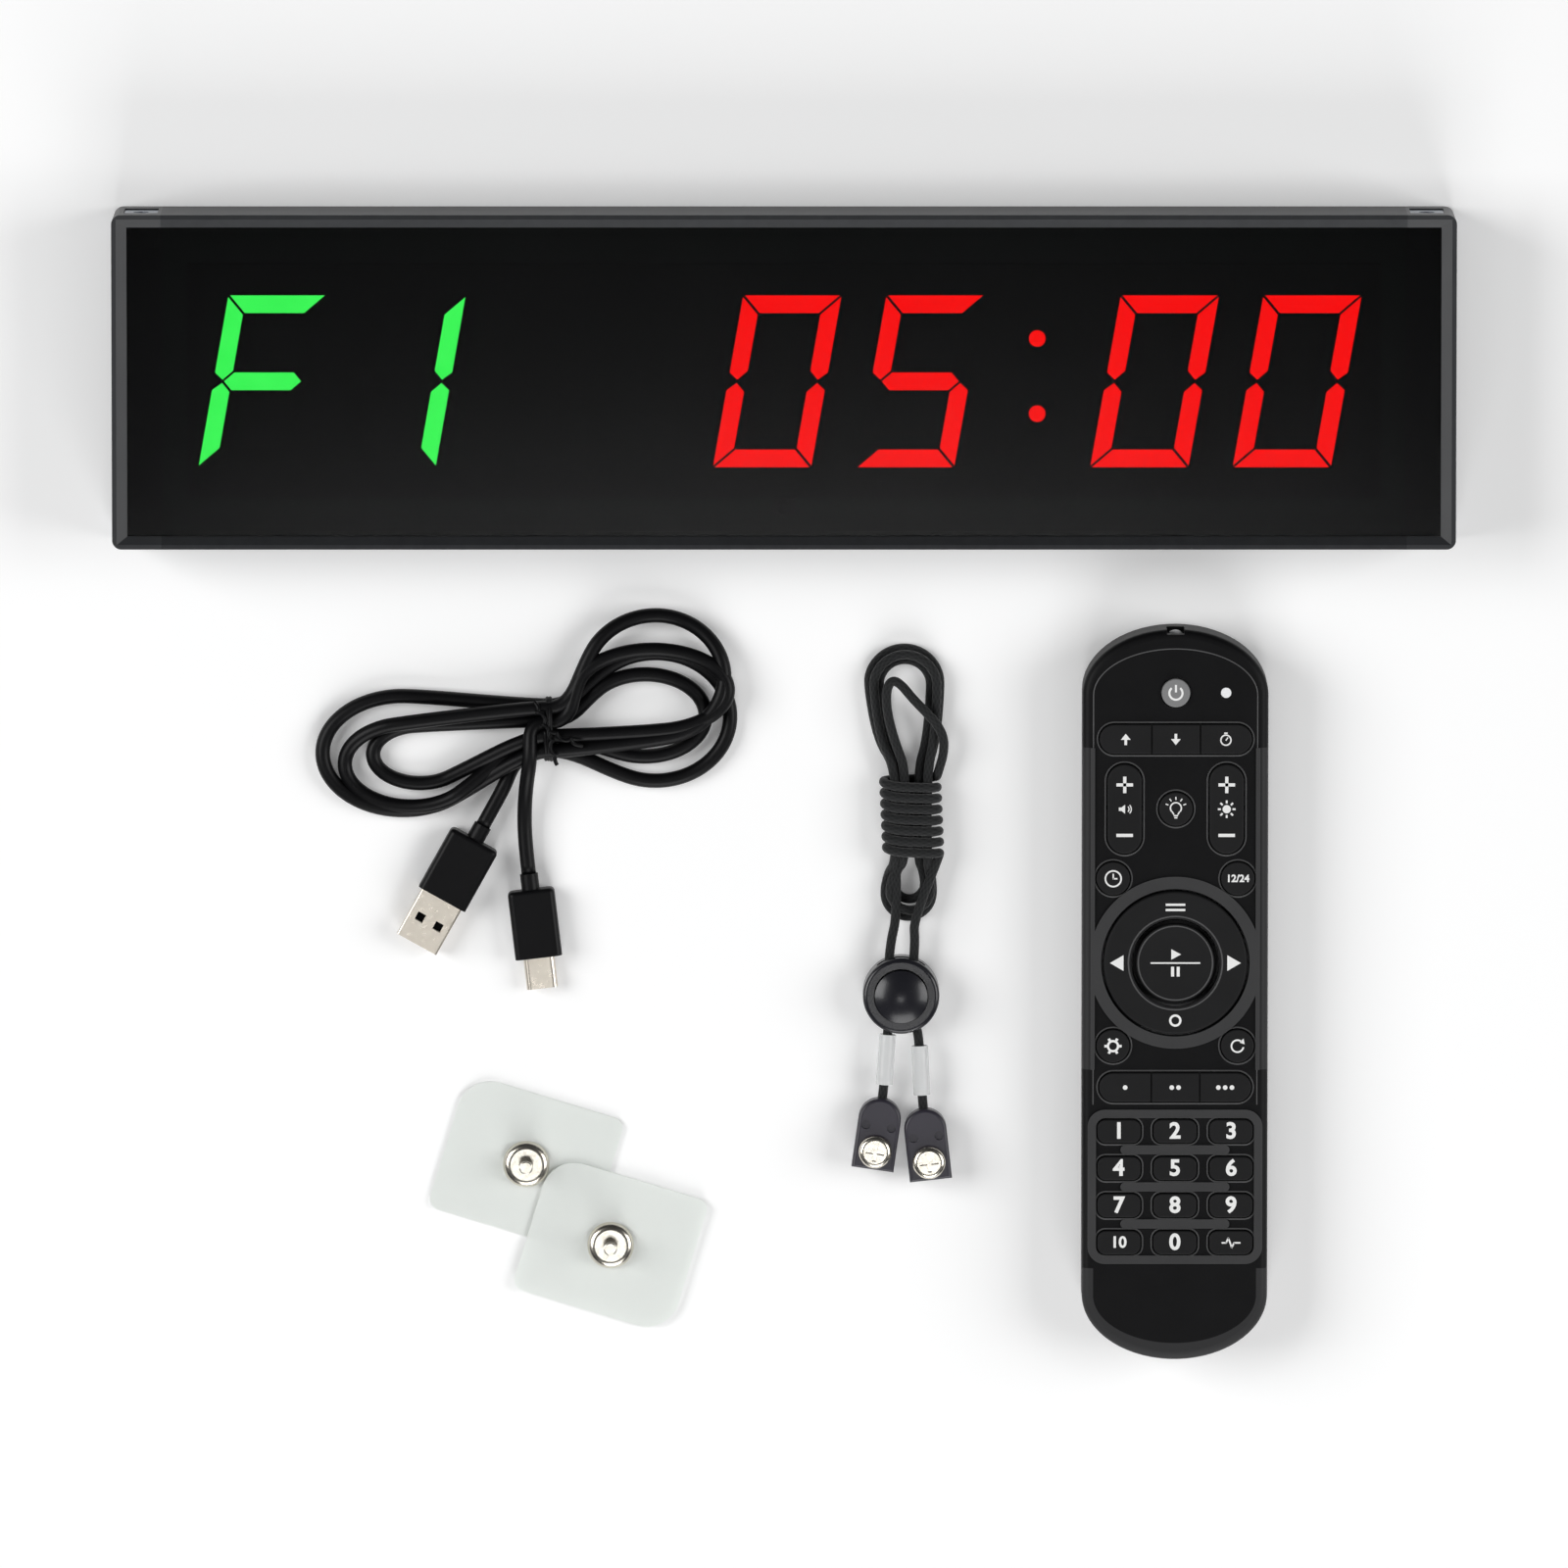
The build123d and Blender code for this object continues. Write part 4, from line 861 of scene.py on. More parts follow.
def lightFinish(name, ownLook):
    # a lit diffuser over its lamp, unevenly bright as its plastic is
    look = {**glowing, **ownLook}
    made, tree, surface = startMaterial(name)
    fine, slow, worn = look["grain"]
    grain = placeGroup(tree, "grain", Scale=fine, Stain_Scale=slow, Scuff_Scale=worn)
    glow = blendColour(tree, grain.outputs["Stain"], look["deep"], look["bright"])
    # only the front of the diffuser glows, so no light leaks into the pockets beside it
    facing = node(tree, "NewGeometry")
    split = node(tree, "SeparateXYZ")
    tree.links.new(facing.outputs["Normal"], split.inputs[0])
    front = maths(tree, "GREATER_THAN", split.outputs["Z"], look["upright"])
    tree.links.new(blendSockets(tree, front, second=glow), surface.inputs["Emission Color"])
    surface.inputs["Emission Strength"].default_value = look["strength"]
    surface.inputs["Base Color"].default_value = (*look["deep"], 1)
    surface.inputs["Roughness"].default_value = look["rough"]
    bump(tree, surface, grain.outputs["Height"], look["bump"], look["depth"])
    return made


# what clear and smoked plastics have unless their own look says otherwise
clearPlastic = {
    "grain": (900.0, 14.0, 60.0),
    "ior": 1.49,
    "scuffDepth": 0.02,
    "bump": 0.04,
    "depth": 0.00002,
}


def lensFinish(name, ownLook):
    # a clear sheet, sleeve or film with faint polishing marks and a little dust
    look = {**clearPlastic, **ownLook}
    made, tree, surface = startMaterial(name)
    fine, slow, worn = look["grain"]
    grain = placeGroup(tree, "grain", Scale=fine, Stain_Scale=slow, Scuff_Scale=worn)
    surface.inputs["Base Color"].default_value = (*look["tint"], 1)
    surface.inputs["Transmission Weight"].default_value = look["clear"]
    surface.inputs["IOR"].default_value = look["ior"]
    rough = scuffedRoughness(
        tree, grain.outputs["Stain"], grain.outputs["Scuffs"], look["rough"], look["scuffDepth"])
    tree.links.new(rough, surface.inputs["Roughness"])
    bump(tree, surface, grain.outputs["Height"], look["bump"], look["depth"])
    return made


# every finish, by the material slot it stands for
finishes = {
    "case_metal": metalFinish("anodisedCase", {
        "colour": (0.022, 0.023, 0.025), "tarnish": (0.04, 0.042, 0.045), "stretch": (40.0, 3000.0, 3000.0),
        "rough": (0.4, 0.55), "metallic": 0.3, "specular": 0.2}),
    "cap_plastic": mouldedFinish("capPlastic", {
        "colour": (0.02, 0.021, 0.023), "grain": 4200.0, "rough": (0.38, 0.5), "edge": 0.0004}),
    "screw_steel": metalFinish("platedSteel", {
        "colour": (0.34, 0.37, 0.42), "tarnish": (0.2, 0.22, 0.26), "stretch": (2000.0, 2000.0, 200.0),
        "rough": (0.22, 0.4)}),
    "smoked_lens": lensFinish("smokedAcrylic", {
        "tint": (0.11, 0.112, 0.115), "clear": 1.0, "rough": (0.10, 0.12)}),
    "housing_plastic": mouldedFinish("blackFace", {
        "colour": (0.006, 0.006, 0.0065), "grain": 2500.0, "rough": (0.6, 0.75), "specular": 0.05,
        "wear": 0.0}),
    "chip_plastic": mouldedFinish("chipPlastic", {
        "colour": (0.03, 0.03, 0.032), "grain": 5000.0, "rough": (0.5, 0.65)}),
    "board_laminate": mouldedFinish("solderMask", {
        "colour": (0.008, 0.06, 0.03), "grain": 1400.0, "rough": (0.3, 0.45), "vary": 1.3}),
    "bright_metal": metalFinish("brightMetal", {
        "colour": (0.72, 0.72, 0.71), "tarnish": (0.55, 0.55, 0.53), "stretch": (200.0, 4000.0, 4000.0),
        "rough": (0.2, 0.38)}),
    "mat_rubber": mouldedFinish("matRubber", {
        "colour": (0.16, 0.16, 0.165), "grain": 3000.0, "rough": (0.6, 0.8)}),
    "light_lens": mouldedFinish("clearLens", {
        "colour": (0.82, 0.83, 0.84), "grain": 2000.0, "rough": (0.1, 0.2), "vary": 1.1, "wear": 0.0}),
    "trim_plastic": mouldedFinish("trimPlastic", {
        "colour": (0.036, 0.036, 0.037), "grain": 5200.0, "rough": (0.42, 0.55), "vary": 1.25, "wear": 0.03,
        "specular": 0.25}),
    "key_rubber": mouldedFinish("keyRubber", {
        "colour": (0.006, 0.006, 0.0064), "grain": 6500.0, "rough": (0.5, 0.66), "specular": 0.2,
        "wear": 0.012}),
    "cable_rubber": mouldedFinish("cableRubber", {
        "colour": (0.0014, 0.0014, 0.0018), "grain": 3600.0, "rough": (0.34, 0.48), "specular": 0.18,
        "wear": 0.003}),
    "plug_metal": metalFinish("nickelShell", {
        "colour": (0.78, 0.73, 0.64), "tarnish": (0.64, 0.58, 0.5), "stretch": (600.0, 600.0, 3000.0),
        "rough": (0.22, 0.36)}),
    "lock_plastic": mouldedFinish("lockPlastic", {
        "colour": (0.009, 0.009, 0.012), "grain": 2600.0, "rough": (0.2, 0.34), "coat": 0.2,
        "wear": 0.012}),
    "tab_plastic": mouldedFinish("tabPlastic", {
        "colour": (0.018, 0.016, 0.024), "grain": 1800.0, "rough": (0.3, 0.45), "coat": 0.15}),
    "nickel": metalFinish("turnedNickel", {
        "colour": (0.80, 0.76, 0.68), "tarnish": (0.66, 0.61, 0.52), "stretch": (900.0, 900.0, 5000.0),
        "rough": (0.16, 0.32)}),
    "sleeve_plastic": lensFinish("clearSleeve", {
        "tint": (0.97, 0.98, 0.98), "clear": 0.45, "rough": (0.08, 0.2), "ior": 1.4}),
    "pad_film": lensFinish("padFilm", {
        "tint": (0.97, 1.0, 0.97), "clear": 0.35, "rough": (0.25, 0.4), "ior": 1.25}),
}
lit = {
    "green": lightFinish("greenGlow", {"deep": (0.030, 0.85, 0.075), "bright": (0.060, 1.0, 0.115)}),
    "red": lightFinish("redGlow", {"deep": (0.90, 0.0, 0.0), "bright": (1.0, 0.003, 0.003)}),
}
unlit = mouldedFinish("darkDiffuser", {
    "colour": (0.003, 0.003, 0.0033), "grain": 2000.0, "rough": (0.75, 0.85), "specular": 0.03,
    "wear": 0.0})
outlineFinish = mouldedFinish("outlinePrint", {
    "colour": (0.058, 0.058, 0.059), "grain": 6000.0, "rough": (0.4, 0.5), "vary": 1.15, "wear": 0.02})
whitePrint = mouldedFinish("whitePrint", {
    "colour": (0.80, 0.80, 0.79), "grain": 7000.0, "rough": (0.45, 0.6), "vary": 1.12, "wear": 0.0})
greyKey = mouldedFinish("greyKey", {
    "colour": (0.19, 0.19, 0.192), "grain": 6000.0, "rough": (0.45, 0.6), "vary": 1.2, "wear": 0.05})


# remote case in two tones: grey grips down both sides and a grey rim round the tail
shellTones = {
    "dark": (0.003, 0.003, 0.0034),
    "grey": (0.032, 0.032, 0.033),
    "gripTop": 10.7,
    "gripEnd": -75.4,
    "gripInset": 3.0,
    "rimTop": -128.7,
    "rimInset": 4.6,
    "endHeight": 17.5,
}


def tonesMask(tree):
    # where the case is grey: beside the keys, and outside a half ellipse at the tail
    low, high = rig.box("remote_top_shell")
    middle = (low.x + high.x) / 2
    innerHalf = (high.x - low.x) / 2 - shellTones["gripInset"] * mm
    place = node(tree, "TexCoord")
    split = node(tree, "SeparateXYZ")
    tree.links.new(place.outputs["Object"], split.inputs[0])
    y = split.outputs["Y"]
    across = maths(tree, "ABSOLUTE", maths(tree, "SUBTRACT", split.outputs["X"], middle))
    outside = maths(tree, "GREATER_THAN", across, innerHalf)
    belowTop = maths(tree, "LESS_THAN", y, shellTones["gripTop"] * mm)
    aboveEnd = maths(tree, "GREATER_THAN", y, shellTones["gripEnd"] * mm)
    grips = maths(tree, "MULTIPLY", outside, maths(tree, "MULTIPLY", belowTop, aboveEnd))
    tailCentre = low.y + shellTones["endHeight"] * mm
    tailReach = (shellTones["endHeight"] - shellTones["rimInset"]) * mm
    overX = maths(tree, "DIVIDE", across, innerHalf)
    below = maths(tree, "MINIMUM", maths(tree, "SUBTRACT", y, tailCentre), 0.0)
    overY = maths(tree, "DIVIDE", below, tailReach)
    squareX = maths(tree, "MULTIPLY", overX, overX)
    squareY = maths(tree, "MULTIPLY", overY, overY)
    past = maths(tree, "GREATER_THAN", maths(tree, "ADD", squareX, squareY), 1.0)
    rim = maths(tree, "MULTIPLY", past, maths(tree, "LESS_THAN", y, shellTones["rimTop"] * mm))
    return maths(tree, "MAXIMUM", grips, rim)


def shellFinish():
    made = mouldedFinish("remoteShell", {
        "colour": shellTones["dark"], "grain": 5200.0, "rough": (0.42, 0.56), "vary": 1.35, "edge": 0.0005,
        "wear": 0.01, "specular": 0.14})
    tree = made.node_tree
    surface = tree.nodes["Principled BSDF"]
    plain = surface.inputs["Base Color"].links[0].from_socket
    tone = blendSockets(tree, tonesMask(tree), first=plain, secondColour=shellTones["grey"])
    tree.links.new(tone, surface.inputs["Base Color"])
    return made


# the rope's braided sleeve
braided = {
    "bundles": 8.0,
    "pitch": 420.0,
    "yarns": 4.0,
    "dark": (0.0035, 0.0035, 0.004),
    "pale": (0.014, 0.015, 0.0155),
    "rough": (0.85, 0.6),
    "sheen": 0.15,
    "sheenRough": 0.5,
    "specular": 0.25,
    "bump": 0.6,
    "depth": 0.00022,
}


def braidFinish():
    made, tree, surface = startMaterial("ropeBraid")
    braid = placeGroup(
        tree, "braid", Bundles=braided["bundles"], Pitch=braided["pitch"], Yarns=braided["yarns"])
    tint = blendColour(tree, braid.outputs["Height"], braided["dark"], braided["pale"])
    tree.links.new(tint, surface.inputs["Base Color"])
    rough = spread(tree, braid.outputs["Shade"], *braided["rough"])
    tree.links.new(rough, surface.inputs["Roughness"])
    surface.inputs["Sheen Weight"].default_value = braided["sheen"]
    surface.inputs["Sheen Roughness"].default_value = braided["sheenRough"]
    surface.inputs["Specular IOR Level"].default_value = braided["specular"]
    bump(tree, surface, braid.outputs["Height"], braided["bump"], braided["depth"])
    return made


finishes["remote_plastic"] = shellFinish()
finishes["rope_braid"] = braidFinish()
print("finishes mixed:", len(finishes))


def dress(thing, material):
    thing.data.materials.clear()
    thing.data.materials.append(material)


def finishParts():
    # each CAD part takes the finish of its material slot
    for row in frame["record"]["subparts"]:
        part = bpy.data.objects.get(row["node"])
        if part is not None and row["material_slot"] in finishes:
            dress(part, finishes[row["material_slot"]])


def meshPiece(name, build, body, slot, material, smooth=False):
    mesh = bpy.data.meshes.new(name)
    build.to_mesh(mesh)
    build.free()
    for face in mesh.polygons:
        face.use_smooth = smooth
    piece = bpy.data.objects.new(name, mesh)
    bpy.context.scene.collection.objects.link(piece)
    dress(piece, material)
    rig.ride(piece, body)
    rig.slot(piece, slot)
    return piece


def islandsOf(build):
    # the separate solids of one mesh, as lists of vertices
    waiting = set(build.verts)
    islands = []
    while waiting:
        stack = [waiting.pop()]
        island = []
        while stack:
            vertex = stack.pop()
            island.append(vertex)
            for edge in vertex.link_edges:
                other = edge.other_vert(vertex)
                if other in waiting:
                    waiting.discard(other)
                    stack.append(other)
        islands.append(island)
    return islands


# display face: which strokes are lit in each figure, from left to right
face = {
    "green": ("F", "1"),
    "red": ("0", "5", "0", "0"),
    "slant": 0.18,
    "figureWidth": 27.0,
    "dotSize": 6.0,
    "middleBand": 5.0,
    "frontSkin": 0.1,
    "proud": 0.1,
    "strokes": {
        "F": ("top", "upperLeft", "lowerLeft", "middle"),
        "1": ("upperRight", "lowerRight"),
        "0": ("top", "upperRight", "lowerRight", "bottom", "lowerLeft", "upperLeft"),
        "5": ("top", "upperLeft", "middle", "lowerRight", "bottom"),
    },
}


def strokeName(x, y):
    if abs(x) >= face["middleBand"]:
        return ("upper" if y > 0 else "lower") + ("Right" if x > 0 else "Left")
    if abs(y) < face["middleBand"]:
        return "middle"
    return "top" if y > 0 else "bottom"


def lightFigures(colour):
    # the lamps' diffusers, parted into the strokes that are lit and those that stay dark
    source = bpy.data.objects[colour + "_segments"]
    low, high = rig.box(source.name)
    middle = (low.y + high.y) / 2 / mm
    build = bmesh.new()
    build.from_mesh(source.data)
    strokes = []
    lamps = set()
    for island in islandsOf(build):
        xs = [vertex.co.x / mm for vertex in island]
        ys = [vertex.co.y / mm for vertex in island]
        x = (min(xs) + max(xs)) / 2
        y = (min(ys) + max(ys)) / 2 - middle
        if max(max(xs) - min(xs), max(ys) - min(ys)) < face["dotSize"]:
            lamps.update(vertex.index for vertex in island)
        else:
            strokes.append((x - face["slant"] * y, y, island))
    strokes.sort(key=lambda stroke: stroke[0])
    figures = []
    for stroke in strokes:
        if not figures or stroke[0] - figures[-1][0][0] > face["figureWidth"]:
            figures.append([])
        figures[-1].append(stroke)
    for sign, figure in zip(face[colour], figures):
        centre = (min(stroke[0] for stroke in figure) + max(stroke[0] for stroke in figure)) / 2
        for x, y, island in figure:
            if strokeName(x - centre, y) in face["strokes"][sign]:
                lamps.update(vertex.index for vertex in island)
    build.free()
    top = high.z
    for state, wanted, material in (("lit", True, lit[colour]), ("dark", False, unlit)):
        part = bmesh.new()
        part.from_mesh(source.data)
        part.verts.ensure_lookup_table()
        drop = [vertex for vertex in part.verts if (vertex.index in lamps) != wanted]
        bmesh.ops.delete(part, geom=drop, context="VERTS")
        if wanted:
            for vertex in part.verts:
                if vertex.co.z > top - face["frontSkin"] * mm:
                    vertex.co.z = top + face["proud"] * mm
        piece = meshPiece(f"{colour}_strokes_{state}", part, "root", colour + "_light", material)
        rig.replaces(piece, source.name)


finishParts()
for colour in ("green", "red"):
    lightFigures(colour)
print("display lit")


# remote control: raised outlines, panel line and printed marks
remote = {
    "face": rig.box("remote_top_shell")[1].z,
    "outlineGap": 0.30,
    "outlineWidth": 0.42,
    "outlineRise": 0.10,
    "panelInset": 2.9,
    "panelHeadInset": 5.0,
    "endHeight": shellTones["endHeight"],
    "lineWidth": 0.36,
    "lineRise": 0.08,
    "printRise": 0.035,
    "printSink": 0.03,
    "boldness": 0.03,
    "cutRise": 0.15,
    "stripPitch": 13.3,
    "numberPitch": 14.95,
    "oneFigure": 6.0,
    "twoFigures": 4.2,
}

# raised lines: how far they sink into the face, and how their tops are rounded
bead = {"sink": 0.04, "shoulder": 0.6, "round": 0.25, "ridgeTop": 0.7}


def sectionLoops(name, height):
    # the outlines of a part where a level plane cuts it
    build = bmesh.new()
    build.from_mesh(bpy.data.objects[name].data)
    bmesh.ops.remove_doubles(build, verts=build.verts, dist=1e-7)
    cut = bmesh.ops.bisect_plane(
        build, geom=build.verts[:] + build.edges[:] + build.faces[:], dist=1e-8,
        plane_co=(0, 0, height), plane_no=(0, 0, 1),
    )["geom_cut"]
    edges = [item for item in cut if isinstance(item, bmesh.types.BMEdge)]
    links = {}
    for edge in edges:
        for vertex in edge.verts:
            links.setdefault(vertex, []).append(edge)
    loops = []
    waiting = set(edges)
    while waiting:
        edge = waiting.pop()
        start, current = edge.verts
        loop = [start.co.xy.copy(), current.co.xy.copy()]
        while current is not start:
            onward = [item for item in links[current] if item in waiting]
            if not onward:
                break
            waiting.discard(onward[0])
            current = onward[0].other_vert(current)
            loop.append(current.co.xy.copy())
        if current is start:
            loop.pop()
        loops.append(loop)
    build.free()
    return [tidyLoop(loop) for loop in loops if len(loop) > 5]


def tidyLoop(loop):
    # anticlockwise, without doubled points
    kept = [point for index, point in enumerate(loop) if (point - loop[index - 1]).length > 1e-6]
    area = sum(a.x * b.y - b.x * a.y for a, b in zip(kept, kept[1:] + kept[:1]))
    return kept if area > 0 else kept[::-1]


def offsetLoop(loop, distance):
    moved = []
    count = len(loop)
    for index, point in enumerate(loop):
        before = (point - loop[index - 1]).normalized()
        after = (loop[(index + 1) % count] - point).normalized()
        outward = Vector((before.y + after.y, -before.x - after.x))
        outward.normalize()
        corner = max(outward.dot(Vector((after.y, -after.x))), 0.4)
        moved.append(point + outward * distance / corner)
    return moved


def addBead(build, loop, inner, outer, base, rise):
    # a low raised line round a closed outline, rounded over at the top
    corner = (outer - inner) * bead["round"]
    sink = -bead["sink"] * mm
    shoulder = rise * bead["shoulder"]
    profile = (
        (inner, sink), (inner, shoulder), (inner + corner, rise),
        (outer - corner, rise), (outer, shoulder), (outer, sink),
    )
    rings = []
    for reach, lift in profile:
        moved = offsetLoop(loop, reach)
        rings.append([build.verts.new((point.x, point.y, base + lift)) for point in moved])
    count = len(loop)
    for ring, nextRing in zip(rings, rings[1:] + rings[:1]):
        for step in range(count):
            after = (step + 1) % count
            build.faces.new((ring[step], ring[after], nextRing[after], nextRing[step]))


def arcPoints(centre, radii, start, finish, steps):
    points = []
    for step in range(steps):
        angle = math.radians(start + (finish - start) * step / (steps - 1))
        reach = Vector((radii[0] * math.cos(angle), radii[1] * math.sin(angle)))
        points.append(Vector((centre[0], centre[1])) + reach)
    return points


def circleLoop(centre, radius, steps=64):
    return arcPoints(centre, (radius, radius), 0, 360 * (steps - 1) / steps, steps)


outlinedKeys = (
    "count_keys", "lamp_key", "clock_key", "hour_format_key", "set_key", "reset_key",
    "mode_keys", "volume_rocker", "brightness_rocker",
    "number_row_1", "number_row_2", "number_row_3", "number_row_4",
)


def outlineKeys():
    build = bmesh.new()
    gap = remote["outlineGap"] * mm
    width = remote["outlineWidth"] * mm
    for name in outlinedKeys:
        for loop in sectionLoops(name, remote["face"] + remote["cutRise"] * mm):
            addBead(build, loop, gap, gap + width, remote["face"], remote["outlineRise"] * mm)
    meshPiece("key_outlines", build, "root", "trim_plastic", outlineFinish, smooth=True)


def panelLine():
    # the line round the dark inner panel, from one side over the head to the other
    low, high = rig.box("remote_top_shell")
    middle = (low.x + high.x) / 2
    half = (high.x - low.x) / 2 - remote["panelInset"] * mm
    head = high.y - remote["endHeight"] * mm
    rise = (remote["endHeight"] - remote["panelHeadInset"]) * mm
    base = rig.box("mode_keys")[0].y
    line = [Vector((middle + half, base))] + arcPoints((middle, head), (half, rise), 0, 180, 49)
    line.append(Vector((middle - half, base)))
    build = bmesh.new()
    addRidge(build, line, remote["lineWidth"] * mm, remote["face"], remote["lineRise"] * mm)
    meshPiece("panel_line", build, "root", "trim_plastic", outlineFinish, smooth=True)


def addRidge(build, line, width, base, rise):
    # a low raised line along an open path
    sink = -bead["sink"] * mm
    profile = ((1, sink), (bead["ridgeTop"], rise), (-bead["ridgeTop"], rise), (-1, sink))
    rings = []
    for index, point in enumerate(line):
        ahead = (line[min(index + 1, len(line) - 1)] - line[max(index - 1, 0)]).normalized()
        side = Vector((ahead.y, -ahead.x)) * width / 2
        rings.append([
            build.verts.new((point.x + side.x * share, point.y + side.y * share, base + lift))
            for share, lift in profile
        ])
    for ring, after in zip(rings, rings[1:]):
        for step in range(len(profile)):
            onward = (step + 1) % len(profile)
            build.faces.new((ring[step], ring[onward], after[onward], after[step]))
    build.faces.new(rings[0][::-1])
    build.faces.new(rings[-1])


# fine round lines: the key they stand on, their radius and their width
ringLineRise = 0.06
ringLineSizes = {
    "ring_line": ("direction_ring", 12.3, 0.4),
    "start_key_line": ("start_key", 9.7, 0.35),
}


def ringLines():
    centre = middleOf("start_key")
    for name, (body, radius, width) in ringLineSizes.items():
        build = bmesh.new()
        loop = circleLoop((centre.x, centre.y), radius * mm)
        addBead(build, loop, 0, width * mm, topOf(body), ringLineRise * mm)
        meshPiece(name, build, body, "trim_plastic", outlineFinish, smooth=True)


def addPrism(build, spots, sunk, raised):
    # a low upright block over a flat outline
    low = [build.verts.new((spot.x, spot.y, sunk)) for spot in spots]
    top = [build.verts.new((spot.x, spot.y, raised)) for spot in spots]
    build.faces.new(top)
    for step in range(len(spots)):
        after = (step + 1) % len(spots)
        build.faces.new((low[step], low[after], top[after], top[step]))
    build.faces.new(low[::-1])


class Stencil:
    # flat printed marks: every shape is added in millimetres round one place
    def __init__(self, place):
        self.build = bmesh.new()
        self.place = Vector((place[0], place[1]))
        self.height = place[2]

    def area(self, points):
        sunk = self.height - remote["printSink"] * mm
        raised = self.height + remote["printRise"] * mm
        spots = [self.place + Vector(point) * mm for point in points]
        addPrism(self.build, spots, sunk, raised)

    def bar(self, x, y, length, width, turn=0):
        angle = math.radians(turn)
        along = Vector((math.cos(angle), math.sin(angle))) * length / 2
        over = Vector((-along.y, along.x)).normalized() * width / 2
        centre = Vector((x, y))
        start = centre - along
        finish = centre + along
        self.area([start - over, finish - over, finish + over, start + over])

    def disc(self, x, y, radius, steps=28):
        self.area([(x + radius * math.cos(2 * math.pi * step / steps),
                    y + radius * math.sin(2 * math.pi * step / steps)) for step in range(steps)])

    def arc(self, x, y, radius, width, start, finish, steps=26):
        inner = radius - width / 2
        outer = radius + width / 2
        for step in range(steps):
            first = math.radians(start + (finish - start) * step / steps)
            second = math.radians(start + (finish - start) * (step + 1) / steps)
            corners = ((inner, first), (outer, first), (outer, second), (inner, second))
            self.area([
                (x + reach * math.cos(angle), y + reach * math.sin(angle)) for reach, angle in corners
            ])

    def text(self, body, x, y, height):
        data = bpy.data.curves.new("print", "FONT")
        data.body = body
        data.size = height * mm
        data.align_x = "CENTER"
        data.align_y = "CENTER"
        data.offset = remote["boldness"] * height * mm
        data.extrude = (remote["printRise"] + remote["printSink"]) / 2 * mm
        data.resolution_u = 4
        carrier = bpy.data.objects.new("print", data)
        mesh = bpy.data.meshes.new_from_object(carrier)
        spot = self.place + Vector((x, y)) * mm
        lift = self.height + (remote["printRise"] - remote["printSink"]) / 2 * mm
        mesh.transform(Matrix.Translation((spot.x, spot.y, lift)))
        self.build.from_mesh(mesh)
        bpy.data.meshes.remove(mesh)
        bpy.data.objects.remove(carrier)
        bpy.data.curves.remove(data)


def arrowUp(mark, x, y, way=1):
    mark.area([(x - 1.3, y - 0.1 * way), (x + 1.3, y - 0.1 * way), (x, y + 1.5 * way)][::way])
    mark.bar(x, y - 0.8 * way, 0.7, 1.4)


def arrowDown(mark, x, y):
    arrowUp(mark, x, y, -1)


def stopwatch(mark, x, y):
    mark.arc(x, y - 0.2, 1.35, 0.36, 0, 360)
    mark.bar(x, y + 1.65, 0.9, 0.4)
    mark.bar(x + 0.25, y + 0.1, 1.0, 0.3, 55)


def clockMark(mark, x, y):
    mark.arc(x, y, 2.1, 0.42, 0, 360)
    mark.bar(x, y + 0.6, 0.38, 1.5)
    mark.bar(x + 0.5, y, 1.2, 0.38)


def powerMark(mark, x, y):
    mark.arc(x, y, 1.75, 0.55, 130, 410)
    mark.bar(x, y + 1.2, 0.55, 2.0)


def bulbMark(mark, x, y):
    mark.arc(x, y + 0.1, 1.45, 0.36, -40, 220)
    mark.bar(x - 0.75, y - 1.25, 1.0, 0.34, -60)
    mark.bar(x + 0.75, y - 1.25, 1.0, 0.34, 60)
    mark.bar(x, y - 1.95, 1.1, 0.4)
    mark.bar(x, y - 2.5, 0.8, 0.34)
    for turn in (20, 55, 90, 125, 160):
        reach = math.radians(turn)
        mark.bar(x + 2.5 * math.cos(reach), y + 0.2 + 2.5 * math.sin(reach), 0.8, 0.3, turn)


def sunMark(mark, x, y):
    mark.disc(x, y, 1.1)
    for turn in range(0, 360, 45):
        reach = math.radians(turn)
        mark.bar(x + 1.95 * math.cos(reach), y + 1.95 * math.sin(reach), 0.8, 0.5, turn)


def speakerMark(mark, x, y):
    mark.bar(x - 1.2, y, 0.7, 0.9)
    mark.area([(x - 0.85, y - 0.45), (x + 0.1, y - 1.2), (x + 0.1, y + 1.2), (x - 0.85, y + 0.45)])
    mark.arc(x + 0.2, y, 0.95, 0.28, -45, 45, 8)
    mark.arc(x + 0.2, y, 1.55, 0.28, -45, 45, 8)


def pulseMark(mark, x, y):
    points = ((-2.4, 0), (-1.3, 0), (-0.7, 1.3), (0.2, -1.3), (0.8, 0), (2.4, 0))
    for (x1, y1), (x2, y2) in zip(points, points[1:]):
        length = math.hypot(x2 - x1, y2 - y1) + 0.2
        mark.bar(x + (x1 + x2) / 2, y + (y1 + y2) / 2, length, 0.42,
                 math.degrees(math.atan2(y2 - y1, x2 - x1)))


def gearMark(mark, x, y):
    mark.arc(x, y, 1.35, 0.6, 0, 360)
    for turn in range(0, 360, 60):
        reach = math.radians(turn)
        mark.bar(x + 1.95 * math.cos(reach), y + 1.95 * math.sin(reach), 0.7, 0.7, turn)


def returnMark(mark, x, y):
    mark.arc(x, y, 1.6, 0.45, 50, 350)
    mark.area([(x + 0.55, y + 0.95), (x + 1.9, y + 0.5), (x + 1.6, y + 2.05)])


